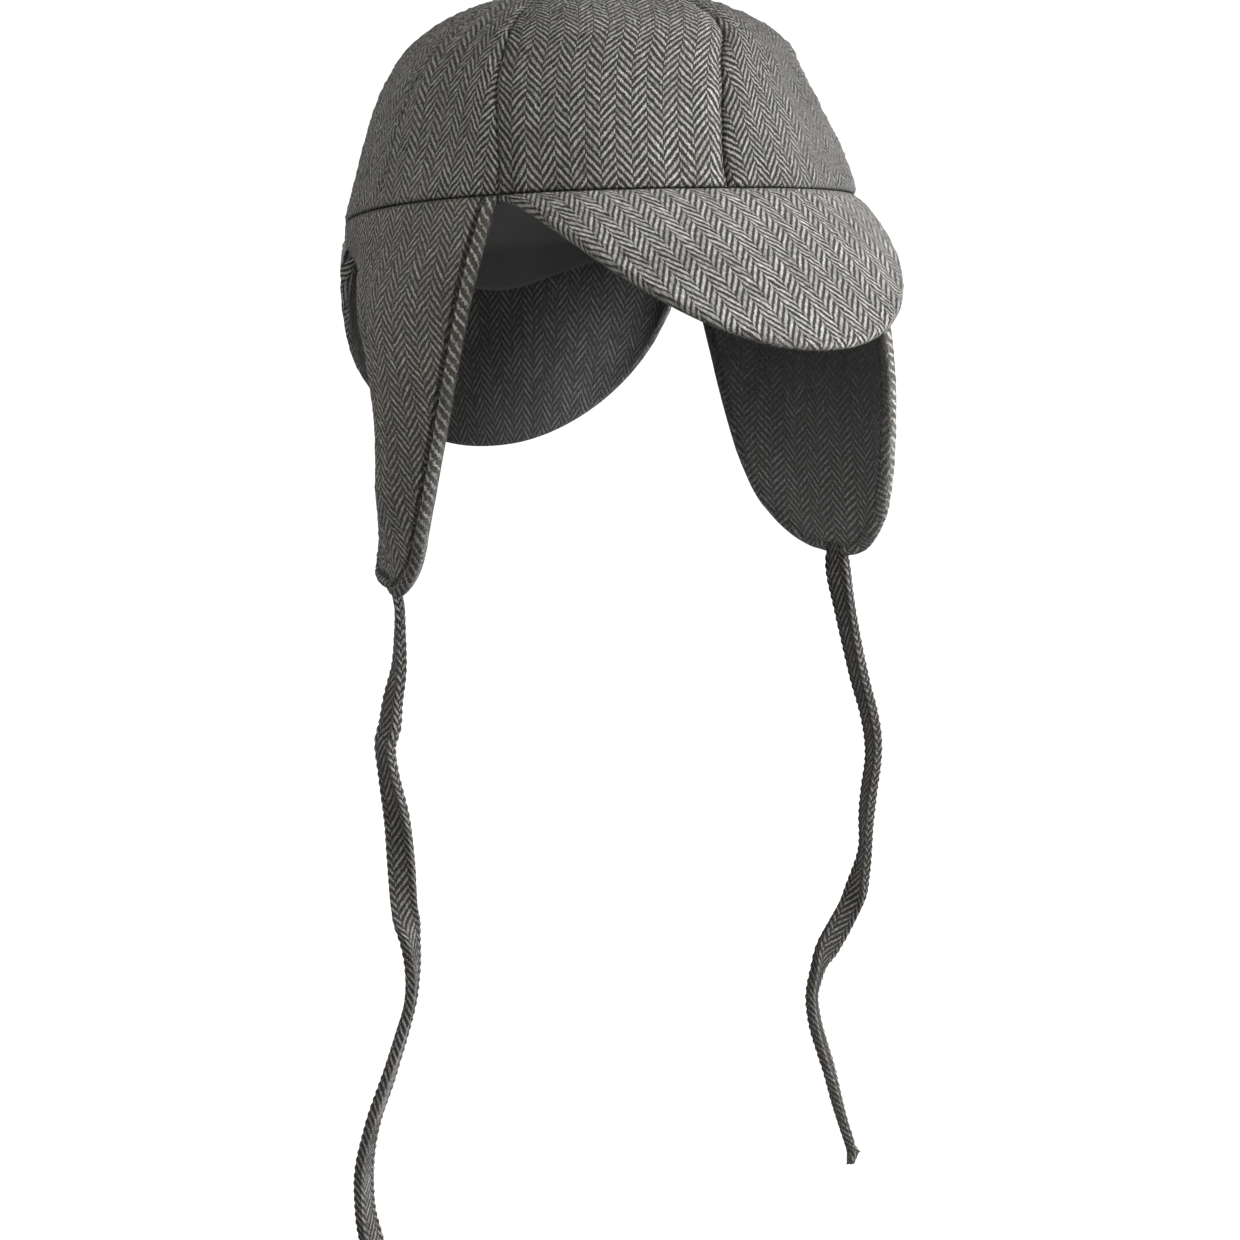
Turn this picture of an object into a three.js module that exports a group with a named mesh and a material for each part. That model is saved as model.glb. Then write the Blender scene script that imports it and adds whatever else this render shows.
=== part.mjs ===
// Deerstalker hat in herringbone tweed, shown as a head holds it.
// Millimetres. +Z is up, the front peak points along -Y, and the wearer's right side is at -X.
// The origin is the centre of the head opening.

import * as THREE from "three";

// Head opening: an oval of about 604 mm round, with the front a little higher than the back.
const HALF_WIDTH = 88;
const HALF_LENGTH = 104;
const RIM_SLOPE = 0.1155;
const RIM_BOW = -3.1;

// Angle of the diagonal seams: it makes all eight panels equally wide at the rim.
const DIAGONAL = 0.74406;

// Cloth.
const CROWN_WALL = 2.0;
const LINING_WALL = 0.8;
const PEAK_THICKNESS = 3.2;
const BACK_THICKNESS = 3.0;
const FLAP_THICKNESS = 4.0;
const SEAM_PINCH = 2.0;
const SEAM_DIP = 0.7;
const GAP = 0.3;

// Crown, from the rim to the tip: share of the rim's size, and height.
const CROWN_PROFILE = [
  { share: 1, height: 0 },
  { share: 0.985, height: 5 },
  { share: 0.963, height: 12 },
  { share: 0.935, height: 20 },
  { share: 0.896, height: 29 },
  { share: 0.856, height: 38 },
  { share: 0.795, height: 49 },
  { share: 0.75, height: 56 },
  { share: 0.7, height: 60.5 },
  { share: 0.64, height: 64.5 },
  { share: 0.57, height: 68 },
  { share: 0.49, height: 71 },
  { share: 0.4, height: 73.6 },
  { share: 0.31, height: 75.6 },
  { share: 0.21, height: 77.2 },
  { share: 0.11, height: 78.2 },
  { share: 0.02, height: 78.6 },
];

// How much flatter than an oval each of the eight panels is, as a share of its reach.
const PANEL_FLATNESS = [0.012, 0.012, 0.012, 0.012, 0.032, 0.012, 0.012, 0.012];

// The crown sits a little over to the wearer's right between the rim and the shoulder.
const CROWN_SWAY = -2.4;

// The eight seams, from the wearer's left round by the back: angle at the rim,
// and how many degrees a seam strays at its foot and at its head.
const SEAMS = [
  { angle: 0, foot: 0, head: 0 },
  { angle: DIAGONAL, foot: 0, head: 0 },
  { angle: Math.PI / 2, foot: 0, head: 0 },
  { angle: Math.PI - DIAGONAL, foot: 0, head: 0 },
  { angle: Math.PI, foot: 9, head: 15 },
  { angle: Math.PI + DIAGONAL, foot: 0, head: -6 },
  { angle: Math.PI * 1.5, foot: 0, head: 15 },
  { angle: Math.PI * 2 - DIAGONAL, foot: 0, head: 0 },
];

// Soft dents in the crown: where they lie round the hat and up the profile, their spread, and depth.
const DENTS = [
  { angle: 3.95, row: 6.5, wide: 0.22, tall: 2.2, depth: 1.6 },
  { angle: 3.35, row: 4.0, wide: 0.3, tall: 2.5, depth: 1.0 },
  { angle: 4.45, row: 9.5, wide: 0.25, tall: 2.0, depth: 1.2 },
  { angle: 5.25, row: 5.0, wide: 0.22, tall: 2.5, depth: 1.1 },
  { angle: 0.45, row: 6.0, wide: 0.3, tall: 2.5, depth: 1.3 },
  { angle: 1.75, row: 5.0, wide: 0.3, tall: 3.0, depth: 1.2 },
];

// Front peak and back peak: length from seam to edge, how that falls off to the sides,
// slope below level in degrees at the middle and its change to the sides, forward pull, camber
// and flare at the sides.
const FRONT_PEAK = {
  side: -1, length: 79.5, power: 2.15, fall: 1.4, slope: 34.4, turn: -8.5, pull: 2.0, camber: 3.0, flare: 0,
};
const BACK_PEAK = {
  side: 1, length: 82, power: 2.25, fall: 0.73, slope: 85.5, turn: -19.3, pull: -0.5, camber: 2.5, flare: 5,
};
const PEAK_END_LENGTH = 3.0;

// Ear flap (wearer's left side, +X), from the seam down: height, then its front and rear edges,
// and how far the middle stands out from the line between them.
const FLAP_EDGES = [
  { height: 0, front_x: 64.7, front_y: -70.4, rear_x: 64.7, rear_y: 70.4, bulge: 23.3 },
  { height: -24, front_x: 73.0, front_y: -72.2, rear_x: 67.6, rear_y: 57.5, bulge: 18.0 },
  { height: -46, front_x: 78.5, front_y: -72.2, rear_x: 68.8, rear_y: 46.5, bulge: 13.0 },
  { height: -68, front_x: 82.5, front_y: -70.0, rear_x: 70.0, rear_y: 36.2, bulge: 9.0 },
  { height: -90, front_x: 85.6, front_y: -65.0, rear_x: 72.5, rear_y: 26.5, bulge: 6.0 },
  { height: -110, front_x: 88.0, front_y: -57.5, rear_x: 77.5, rear_y: 17.5, bulge: 3.5 },
  { height: -126, front_x: 90.0, front_y: -50.0, rear_x: 83.0, rear_y: 9.0, bulge: 2.0 },
];
const FLAP_BOTTOM = -125.3;

// The two flaps: rounding of the lower corners, how far the lower rear edge curls forward,
// and how far the cloth stands out in a soft bend behind the front edge.
const RIGHT_FLAP = {
  side: -1, front_start: 0.5, front_rise: 17, rear_start: 0.3, rear_rise: 24, curl: 7, cup: 8.5,
};
const LEFT_FLAP = {
  side: 1, front_start: 0.25, front_rise: 24, rear_start: 0.35, rear_rise: 22, curl: -1, cup: 0,
};
const CUP = { across: -0.46, before: 0.54, behind: 1.1, round: 0.13 };

// Soft upright folds in the ear flaps: place across the flap, spread, and depth.
const FOLDS = [
  { across: -0.62, wide: 0.16, depth: 1.5 },
  { across: -0.1, wide: 0.2, depth: -1.3 },
  { across: 0.45, wide: 0.18, depth: 1.4 },
];

// Ties: a narrow folded strip of the same cloth.
const TIE_WIDTH = 9;
const TIE_THICKNESS = 3.4;
const TIE_SIDES = 10;
const TIE_STEPS = 54;

// Routes of the two ties, from the flap down: position, and turn of the strip in degrees.
const RIGHT_TIE = [
  [-88.2, -32.8, -126.1, 82],
  [-87.6, -33.0, -130.5, 82],
  [-87.7, -33.0, -139.3, 79],
  [-88.3, -32.8, -150.9, 72],
  [-90.4, -31.9, -162.2, 57],
  [-91.5, -31.3, -171.0, 49],
  [-93.2, -30.6, -178.5, 53],
  [-92.2, -31.0, -189.6, 48],
  [-90.0, -32.0, -205.1, 28],
  [-89.0, -32.5, -220.8, 10],
  [-88.3, -32.8, -237.0, -8],
  [-86.7, -33.5, -248.1, -62],
  [-85.9, -33.9, -259.6, -80],
  [-86.8, -33.5, -272.4, -84],
  [-90.2, -32.0, -285.6, -81],
  [-95.0, -29.8, -302.0, -75],
  [-100.2, -27.4, -318.9, -75],
  [-103.3, -26.1, -335.6, -67],
  [-103.4, -26.0, -352.4, -63],
  [-101.6, -26.8, -364.3, -50],
  [-99.3, -27.9, -375.2, -44],
];
const LEFT_TIE = [
  [84.1, -30.7, -126.1, 30],
  [85.0, -31.1, -132.5, 34],
  [86.7, -31.9, -141.8, 49],
  [89.7, -33.2, -157.1, 58],
  [93.1, -34.8, -172.6, 64],
  [96.2, -36.1, -184.3, 68],
  [97.9, -37.0, -194.1, 70],
  [98.3, -37.1, -204.0, 73],
  [97.1, -36.6, -215.9, 75],
  [96.4, -36.2, -227.8, 78],
  [96.2, -36.2, -239.9, 81],
  [94.8, -35.5, -250.0, 64],
  [92.4, -34.5, -260.1, 22],
  [88.2, -32.6, -270.3, 2],
  [84.4, -30.9, -278.5, -12],
  [81.2, -29.4, -286.7, -55],
  [79.3, -28.6, -295.0, -66],
  [78.8, -28.4, -301.8, -75],
  [80.3, -29.0, -311.6, -76],
  [83.1, -30.3, -322.1, -76],
  [85.5, -31.4, -330.5, -78],
  [88.5, -32.7, -343.2, -83],
  [91.3, -33.9, -353.8, -85],
  [93.8, -35.1, -362.4, -84],
  [94.9, -35.6, -367.8, -70],
];

// Smooth step from 0 to 1 between two values.
function ease(low, high, value) {
  const t = Math.min(1, Math.max(0, (value - low) / (high - low)));
  return t * t * (3 - 2 * t);
}

// A value on a smooth curve through evenly numbered rows.
function smoothRow(values, at) {
  const last = values.length - 1;
  const place = Math.min(last, Math.max(0, at));
  const i = Math.min(last - 1, Math.floor(place));
  const t = place - i;
  const a = i > 0 ? values[i - 1] : 2 * values[0] - values[1];
  const b = values[i];
  const c = values[i + 1];
  const d = i + 2 <= last ? values[i + 2] : 2 * values[last] - values[last - 1];
  const linear = c - a;
  const square = 2 * a - 5 * b + 4 * c - d;
  const cube = -a + 3 * b - 3 * c + d;
  return b + 0.5 * t * (linear + t * (square + t * cube));
}

const PROFILE_SHARE = CROWN_PROFILE.map((row) => row.share);
const PROFILE_HEIGHT = CROWN_PROFILE.map((row) => row.height);
const PROFILE_END = CROWN_PROFILE.length - 1;

// Height of the rim at a distance behind the middle.
function rimHeight(y) {
  return -RIM_SLOPE * y + RIM_BOW * ((y / HALF_LENGTH) ** 2 - 0.5);
}

// Angle round the hat of a place counted in seams: 2.5 is midway between seams 2 and 3.
function seamAngle(place, row) {
  const whole = Math.floor(place);
  const angles = [whole, whole + 1].map((number) => {
    const turns = Math.floor(number / 8);
    const seam = SEAMS[number - 8 * turns];
    const stray = seam.foot + (seam.head - seam.foot) * ease(1, 10, row);
    return seam.angle + turns * 2 * Math.PI + (stray * Math.PI) / 180;
  });
  return angles[0] + (angles[1] - angles[0]) * (place - whole);
}

// A point of the crown's outer face: place in seams, and row of the profile.
// Rows below zero run straight down from the rim, one row for each 5 mm.
function crownPoint(place, row) {
  const angle = seamAngle(place, row);
  const share = smoothRow(PROFILE_SHARE, Math.max(0, row));
  const rise = smoothRow(PROFILE_HEIGHT, Math.max(0, row));
  const panel = (Math.floor(place) + 8) % 8;
  const flat = PANEL_FLATNESS[panel] * ease(0, 4, row) * 0.5 * (1 - Math.cos(2 * Math.PI * place));
  let reach = share * (1 - flat);
  for (const dent of DENTS) {
    const round = Math.atan2(Math.sin(angle - dent.angle), Math.cos(angle - dent.angle)) / dent.wide;
    const up = (row - dent.row) / dent.tall;
    reach -= (dent.depth / HALF_LENGTH) * Math.exp(-round * round - up * up);
  }
  const sway = CROWN_SWAY * ease(0, 40, rise) * (1 - ease(42, 64, rise));
  const x = HALF_WIDTH * Math.cos(angle) * reach + sway;
  const y = HALF_LENGTH * Math.sin(angle) * reach;
  const rim = rimHeight(HALF_LENGTH * Math.sin(angle));
  const settle = 1 - ease(0, 74, rise);
  return new THREE.Vector3(x, y, rim * settle + rise + Math.min(0, row) * 5);
}

// Outward normal of a surface given as point(u, v).
function normalAt(point, u, v, stepU, stepV) {
  const alongU = point(u + stepU, v).sub(point(u - stepU, v));
  const alongV = point(u, v + stepV).sub(point(u, v - stepV));
  return alongU.cross(alongV).normalize();
}

// Makes one closed mesh from a grid of outer points and a grid of inner points.
function closedCloth(outer, inner) {
  const columns = outer.length;
  const rows = outer[0].length;
  const positions = [];
  const faces = [];
  for (const grid of [outer, inner]) {
    for (const column of grid) {
      for (const p of column) {
        positions.push(p.x, p.y, p.z);
      }
    }
  }
  const out = (i, j) => i * rows + j;
  const inn = (i, j) => columns * rows + i * rows + j;
  const quad = (a, b, c, d) => faces.push(a, b, c, a, c, d);
  for (let i = 0; i + 1 < columns; i += 1) {
    for (let j = 0; j + 1 < rows; j += 1) {
      quad(out(i, j), out(i + 1, j), out(i + 1, j + 1), out(i, j + 1));
      quad(inn(i, j), inn(i, j + 1), inn(i + 1, j + 1), inn(i + 1, j));
    }
  }
  for (let i = 0; i + 1 < columns; i += 1) {
    quad(out(i + 1, 0), out(i, 0), inn(i, 0), inn(i + 1, 0));
    quad(out(i, rows - 1), out(i + 1, rows - 1), inn(i + 1, rows - 1), inn(i, rows - 1));
  }
  for (let j = 0; j + 1 < rows; j += 1) {
    quad(out(0, j), out(0, j + 1), inn(0, j + 1), inn(0, j));
    quad(out(columns - 1, j + 1), out(columns - 1, j), inn(columns - 1, j), inn(columns - 1, j + 1));
  }
  return outwardGeometry(positions, faces);
}

// Geometry with its faces turned outward.
function outwardGeometry(positions, faces) {
  let volume = 0;
  const corner = (k) => new THREE.Vector3(positions[3 * k], positions[3 * k + 1], positions[3 * k + 2]);
  for (let f = 0; f < faces.length; f += 3) {
    volume += corner(faces[f]).dot(corner(faces[f + 1]).cross(corner(faces[f + 2])));
  }
  const turned = volume < 0 ? faces.slice().reverse() : faces;
  const geometry = new THREE.BufferGeometry();
  geometry.setAttribute("position", new THREE.Float32BufferAttribute(positions, 3));
  geometry.setIndex(turned);
  geometry.computeVertexNormals();
  return geometry;
}

// Even steps from 0 to 1 with extra rows close to both ends for the rounded edge.
function edgeSteps(count, edge) {
  const steps = [0, 0.35 * edge, edge];
  for (let i = 1; i < count; i += 1) {
    steps.push(edge + ((1 - 2 * edge) * i) / count);
  }
  steps.push(1 - edge, 1 - 0.35 * edge, 1);
  return steps;
}

// Share of the full thickness near an edge, for a rounded edge.
function edgeRound(step, edge) {
  const near = Math.min(step, 1 - step) / edge;
  if (near >= 1) {
    return 1;
  }
  return 0.4 + 0.6 * Math.sqrt(1 - (1 - near) ** 2);
}

const CROWN_ROWS = [2, 3.5, 5, 6.2, 7.2, 8.2, 9.5, 11, 12.5, 14, 15.2];

// One crown panel between two neighbouring seams.
function crownPanel(index) {
  const across = [0, 0.035, 0.2, 0.5, 0.8, 0.965, 1];
  const rows = [0, 0.5, ...CROWN_ROWS, PROFILE_END];
  const outer = [];
  const inner = [];
  for (const u of across) {
    const outerColumn = [];
    const innerColumn = [];
    for (const row of rows) {
      const share = smoothRow(PROFILE_SHARE, row);
      const width = crownPoint(index, row).distanceTo(crownPoint(index + 1, row));
      const margin = Math.min(0.2, (0.5 * GAP) / width);
      const place = index + margin + (1 - 2 * margin) * u;
      const face = crownPoint(place, row);
      const normal = normalAt(crownPoint, place, Math.min(row, PROFILE_END - 0.2), 1e-4, 1e-3);
      normal.setZ(row === 0 ? 0 : normal.z).normalize();
      const seamDip = u === 0 || u === 1 ? SEAM_DIP : 0;
      const hemDip = row === 0 ? SEAM_DIP : 0;
      const dip = Math.max(seamDip, hemDip) * ease(0, 0.2, share);
      outerColumn.push(face.clone().addScaledVector(normal, -dip));
      innerColumn.push(face.clone().addScaledVector(normal, -CROWN_WALL));
    }
    outer.push(outerColumn);
    inner.push(innerColumn);
  }
  return closedCloth(outer, inner);
}

// How far the lining hangs below the rim.
function liningDrop(angle) {
  const back = Math.atan2(-Math.cos(angle), Math.sin(angle)) / 0.35;
  return 7 * ease(0.62, 0.8, Math.sin(angle)) + 11 * Math.exp(-back * back);
}

// The lining: a thin skin just inside the crown, closed at the top.
function crownLining() {
  const places = [];
  for (let k = 0; k < 8; k += 1) {
    places.push(k, k + 0.2, k + 0.5, k + 0.8);
  }
  const columns = places.length;
  const rows = [0, 0.5, 1, ...CROWN_ROWS];
  const facing = CROWN_WALL + GAP;
  const positions = [];
  const faces = [];
  const skins = [facing, facing + LINING_WALL];
  for (const depth of skins) {
    for (let i = 0; i < columns; i += 1) {
      const place = places[i];
      const drop = liningDrop(seamAngle(place, 0)) / 5;
      rows.forEach((row) => {
        const level = row <= 1 ? (row - 1) * (drop + 0.2) + 0.2 : row;
        const p = crownPoint(place, level);
        const normal = normalAt(crownPoint, place, Math.max(level, 0.01), 1e-4, 1e-3);
        normal.setZ(level < 0.5 ? 0 : normal.z).normalize();
        p.addScaledVector(normal, -depth);
        positions.push(p.x, p.y, p.z);
      });
    }
    positions.push(0, 0, PROFILE_HEIGHT[PROFILE_END] - depth);
  }
  const ring = columns * rows.length + 1;
  const at = (skin, i, j) => skin * ring + (i % columns) * rows.length + j;
  const quad = (a, b, c, d) => faces.push(a, b, c, a, c, d);
  for (let i = 0; i < columns; i += 1) {
    for (let j = 0; j + 1 < rows.length; j += 1) {
      quad(at(0, i, j), at(0, i + 1, j), at(0, i + 1, j + 1), at(0, i, j + 1));
      quad(at(1, i, j), at(1, i, j + 1), at(1, i + 1, j + 1), at(1, i + 1, j));
    }
    faces.push(at(0, i, rows.length - 1), at(0, i + 1, rows.length - 1), ring - 1);
    faces.push(at(1, i + 1, rows.length - 1), at(1, i, rows.length - 1), 2 * ring - 1);
    quad(at(0, i + 1, 0), at(0, i, 0), at(1, i, 0), at(1, i + 1, 0));
  }
  return outwardGeometry(positions, faces);
}

// Middle of a peak's cloth: s runs from -1 to 1 across it, w from 0 at the seam to 1 at the edge.
function peakPoint(peak, s, w) {
  const half = Math.PI / 2 - DIAGONAL - (0.5 * GAP + 0.1) / HALF_LENGTH;
  const angle = (peak.side * Math.PI) / 2 + s * half;
  const rootX = (HALF_WIDTH - 1) * Math.cos(angle);
  const rootY = (HALF_LENGTH - 1) * Math.sin(angle);
  const rootZ = rimHeight(rootY) - GAP - 0.1;
  const out = new THREE.Vector2(Math.cos(angle) / HALF_WIDTH, Math.sin(angle) / HALF_LENGTH).normalize();
  out.y += peak.side * peak.pull;
  out.normalize();
  const reach = peak.length * Math.max(0, 1 - Math.abs(s) ** peak.power) ** peak.fall;
  const length = Math.hypot(reach, PEAK_END_LENGTH);
  const slope = ((peak.slope + peak.turn * s * s) * Math.PI) / 180;
  const run = length * w;
  const lead = 1.4 * (1 - Math.exp(-run / 1.6)) * Math.cos(slope);
  const level = Math.max(0, run - lead) * Math.cos(slope);
  const down = run * Math.sin(slope) + lead * (1 - Math.sin(slope));
  const lift = peak.camber * 4 * w * (1 - w) * (reach / peak.length);
  const flare = peak.flare * s * s * 4 * w * (1 - w);
  const far = level + lift * Math.sin(slope) + flare;
  const x = rootX + out.x * far;
  const y = rootY + out.y * far;
  return new THREE.Vector3(x, y, rootZ - down + lift * Math.cos(slope));
}

// A peak as one closed piece of cloth.
function peakPiece(peak, thickness, countAcross, countDown) {
  const point = (u, w) => peakPoint(peak, 2 * u - 1, w);
  return hangingCloth(point, edgeSteps(countAcross, 0.012), edgeSteps(countDown, 0.035), thickness, 0.012, 0.035);
}

// Closed piece of cloth about its middle surface, pinched where it is sewn at the top.
function hangingCloth(point, across, down, thickness, edgeAcross, edgeDown) {
  const outer = [];
  const inner = [];
  for (const u of across) {
    const outerColumn = [];
    const innerColumn = [];
    for (const w of down) {
      const uMid = Math.min(1 - 2e-3, Math.max(2e-3, u));
      const wMid = Math.min(1 - 2e-3, Math.max(2e-3, w));
      const normal = normalAt(point, uMid, wMid, 1e-3, 1e-3);
      normal.setZ(w === 0 ? 0 : normal.z).normalize();
      const pinch = SEAM_PINCH + (thickness - SEAM_PINCH) * ease(0, 0.12, w);
      const top = w < edgeDown ? 1 : edgeRound(w, edgeDown);
      const half = 0.5 * pinch * Math.min(edgeRound(u, edgeAcross), top);
      outerColumn.push(point(u, w).addScaledVector(normal, half));
      innerColumn.push(point(u, w).addScaledVector(normal, -half));
    }
    outer.push(outerColumn);
    inner.push(innerColumn);
  }
  return closedCloth(outer, inner);
}

const FLAP_COLUMNS = {};
for (const key of ["height", "front_x", "front_y", "rear_x", "rear_y", "bulge"]) {
  FLAP_COLUMNS[key] = FLAP_EDGES.map((row) => row[key]);
}

// Lower outline of the ear flap across its width.
function flapBottom(flap, s) {
  const start = s < 0 ? flap.front_start : flap.rear_start;
  const rise = s < 0 ? flap.front_rise : flap.rear_rise;
  const t = Math.max(0, (Math.abs(s) - start) / (1 - start));
  return FLAP_BOTTOM + rise * (1 - Math.sqrt(Math.max(0, 1 - t * t)));
}

// The bend behind a flap's front edge, from 0 to 1.
function cupShape(s) {
  const near = (s - CUP.across) / (s < CUP.across ? CUP.before : CUP.behind);
  const whole = Math.hypot(1, CUP.round);
  return Math.max(0, (whole - Math.hypot(near, CUP.round)) / (whole - CUP.round));
}

// Middle of the ear flap's cloth: s runs from -1 at the front to 1 at the rear, w from seam to edge.
function flapPoint(flap, s, w) {
  const angle = s * (DIAGONAL - (0.5 * GAP + 0.1) / HALF_WIDTH);
  const rootX = (HALF_WIDTH - 1) * Math.cos(angle);
  const rootY = (HALF_LENGTH - 1) * Math.sin(angle);
  const rootZ = rimHeight(rootY) - GAP - 0.1;
  const z = rootZ + (flapBottom(flap, s) - rootZ) * w;
  const fall = Math.max(0, (rootZ - z) / (rootZ - FLAP_BOTTOM)) * -FLAP_BOTTOM;
  let at = 0;
  while (at < FLAP_EDGES.length - 2 && fall > -FLAP_EDGES[at + 1].height) {
    at += 1;
  }
  at += (fall + FLAP_EDGES[at].height) / (FLAP_EDGES[at].height - FLAP_EDGES[at + 1].height);
  const value = (key) => smoothRow(FLAP_COLUMNS[key], at);
  const share = (s + 1) / 2;
  const lineX = value("front_x") + (value("rear_x") - value("front_x")) * share;
  const rearY = value("rear_y") - flap.curl * ease(30, 80, fall);
  const lineY = value("front_y") + (rearY - value("front_y")) * share;
  const topX = rootX - HALF_WIDTH * Math.cos(DIAGONAL);
  const topY = rootY - (2 * share - 1) * HALF_LENGTH * Math.sin(DIAGONAL);
  const bow = value("bulge") / FLAP_EDGES[0].bulge;
  let out = topX * bow;
  for (const fold of FOLDS) {
    const near = (s - fold.across) / fold.wide;
    out += fold.depth * Math.exp(-near * near) * ease(0.08, 0.4, w) * (1 - 0.4 * w);
  }
  out += flap.cup * cupShape(s) * ease(0.03, 0.3, w) * (1 - ease(0.7, 0.97, w));
  return new THREE.Vector3(flap.side * (lineX + out), lineY + topY * bow, z);
}

// One ear flap.
function earFlap(flap) {
  const point = (u, w) => flapPoint(flap, 2 * u - 1, w);
  return hangingCloth(point, edgeSteps(12, 0.022), edgeSteps(14, 0.016), FLAP_THICKNESS, 0.022, 0.016);
}

// One tie: a flat rounded strip that turns along its route.
function tiePiece(route) {
  const curve = new THREE.CatmullRomCurve3(route.map((p) => new THREE.Vector3(p[0], p[1], p[2])));
  const turns = route.map((p) => p[3]);
  const across = new THREE.Vector3(Math.cos(0.4218), -Math.sin(0.4218), 0);
  const positions = [];
  const faces = [];
  for (let i = 0; i <= TIE_STEPS; i += 1) {
    const t = i / TIE_STEPS;
    const centre = curve.getPoint(t);
    const along = curve.getTangent(t);
    const turn = (smoothRow(turns, t * (route.length - 1)) * Math.PI) / 180;
    const wide = across.clone().addScaledVector(along, -across.dot(along)).normalize();
    wide.applyAxisAngle(along, turn);
    const thin = along.clone().cross(wide).normalize();
    for (let k = 0; k < TIE_SIDES; k += 1) {
      const angle = (k * 2 * Math.PI) / TIE_SIDES;
      const c = Math.cos(angle);
      const s = Math.sin(angle);
      const p = centre.clone();
      p.addScaledVector(wide, (0.5 * TIE_WIDTH * c) / Math.max(Math.abs(c), 0.8));
      p.addScaledVector(thin, (0.5 * TIE_THICKNESS * s) / Math.max(Math.abs(s), 0.6));
      positions.push(p.x, p.y, p.z);
    }
  }
  const at = (i, k) => i * TIE_SIDES + (k % TIE_SIDES);
  for (let i = 0; i < TIE_STEPS; i += 1) {
    for (let k = 0; k < TIE_SIDES; k += 1) {
      faces.push(at(i, k), at(i, k + 1), at(i + 1, k + 1));
      faces.push(at(i, k), at(i + 1, k + 1), at(i + 1, k));
    }
  }
  for (let k = 1; k + 1 < TIE_SIDES; k += 1) {
    faces.push(at(0, 0), at(0, k + 1), at(0, k));
    faces.push(at(TIE_STEPS, 0), at(TIE_STEPS, k), at(TIE_STEPS, k + 1));
  }
  return outwardGeometry(positions, faces);
}

const hat = new THREE.Group();
hat.name = "deerstalker_hat";

// Adds one named piece with a material of its own.
function addPiece(name, geometry, colour, roughness) {
  const material = new THREE.MeshStandardMaterial({ color: colour, roughness });
  const mesh = new THREE.Mesh(geometry, material);
  mesh.name = name;
  hat.add(mesh);
}

const TWEED = 0x6a6a68;
const LINING = 0x141414;

for (let k = 0; k < 8; k += 1) {
  addPiece("crown_panel_" + (k + 1), crownPanel(k), TWEED, 0.95);
}
addPiece("crown_lining", crownLining(), LINING, 0.6);
addPiece("front_peak", peakPiece(FRONT_PEAK, PEAK_THICKNESS, 20, 5), TWEED, 0.95);
addPiece("back_peak", peakPiece(BACK_PEAK, BACK_THICKNESS, 20, 7), TWEED, 0.95);
addPiece("ear_flap_right", earFlap(RIGHT_FLAP), TWEED, 0.95);
addPiece("ear_flap_left", earFlap(LEFT_FLAP), TWEED, 0.95);
addPiece("tie_right", tiePiece(RIGHT_TIE), TWEED, 0.95);
addPiece("tie_left", tiePiece(LEFT_TIE), TWEED, 0.95);

export default hat;
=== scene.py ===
"""Deerstalker hat in herringbone tweed: cloth, lining, ties and studio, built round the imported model."""

import math

import bmesh
import bpy
import numpy as np
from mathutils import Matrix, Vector


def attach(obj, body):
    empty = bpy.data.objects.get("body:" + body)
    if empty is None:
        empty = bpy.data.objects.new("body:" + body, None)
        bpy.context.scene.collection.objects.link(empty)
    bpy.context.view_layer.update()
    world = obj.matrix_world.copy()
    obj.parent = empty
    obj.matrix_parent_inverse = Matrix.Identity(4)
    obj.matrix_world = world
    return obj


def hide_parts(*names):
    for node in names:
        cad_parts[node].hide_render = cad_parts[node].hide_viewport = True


bl_info = {
    "name": "Deerstalker Hat",
    "version": (1, 0, 0),
    "blender": (4, 5, 0),
    "location": "3D View > Sidebar > Hat",
    "description": "Builds a herringbone tweed deerstalker round its packed model",
    "category": "Mesh",
}

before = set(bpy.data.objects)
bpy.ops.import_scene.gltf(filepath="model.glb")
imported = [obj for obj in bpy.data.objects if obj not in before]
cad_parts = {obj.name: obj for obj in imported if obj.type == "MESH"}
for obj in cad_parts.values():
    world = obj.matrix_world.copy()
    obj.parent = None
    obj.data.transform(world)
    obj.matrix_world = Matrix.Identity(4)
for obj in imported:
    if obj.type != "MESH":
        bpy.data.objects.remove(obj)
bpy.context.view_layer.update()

# Sizes as in the model, in metres and degrees. A peak's wing and a flap's tuck are in the scene only:
# how far the back peak's near end stands out, and how far the cloth behind a flap's middle is drawn in.
HALF_WIDTH = 0.088
HALF_LENGTH = 0.104
RIM_SLOPE = 0.1155
RIM_BOW = -0.0031
DIAGONAL = 0.74406
CROWN_WALL = 0.0020
GAP = 0.0003
CROWN_PROFILE = [
    (1.0, 0.0),
    (0.985, 0.005),
    (0.963, 0.012),
    (0.935, 0.020),
    (0.896, 0.029),
    (0.856, 0.038),
    (0.795, 0.049),
    (0.75, 0.056),
    (0.70, 0.0605),
    (0.64, 0.0645),
    (0.57, 0.068),
    (0.49, 0.071),
    (0.40, 0.0736),
    (0.31, 0.0756),
    (0.21, 0.0772),
    (0.11, 0.0782),
    (0.02, 0.0786),
]
PROFILE_SHARE = np.array([row[0] for row in CROWN_PROFILE])
PROFILE_HEIGHT = np.array([row[1] for row in CROWN_PROFILE])
PROFILE_END = len(CROWN_PROFILE) - 1
PANEL_FLATNESS = np.array([0.012, 0.012, 0.012, 0.012, 0.032, 0.012, 0.012, 0.012])
CROWN_SWAY = -0.0024
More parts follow.
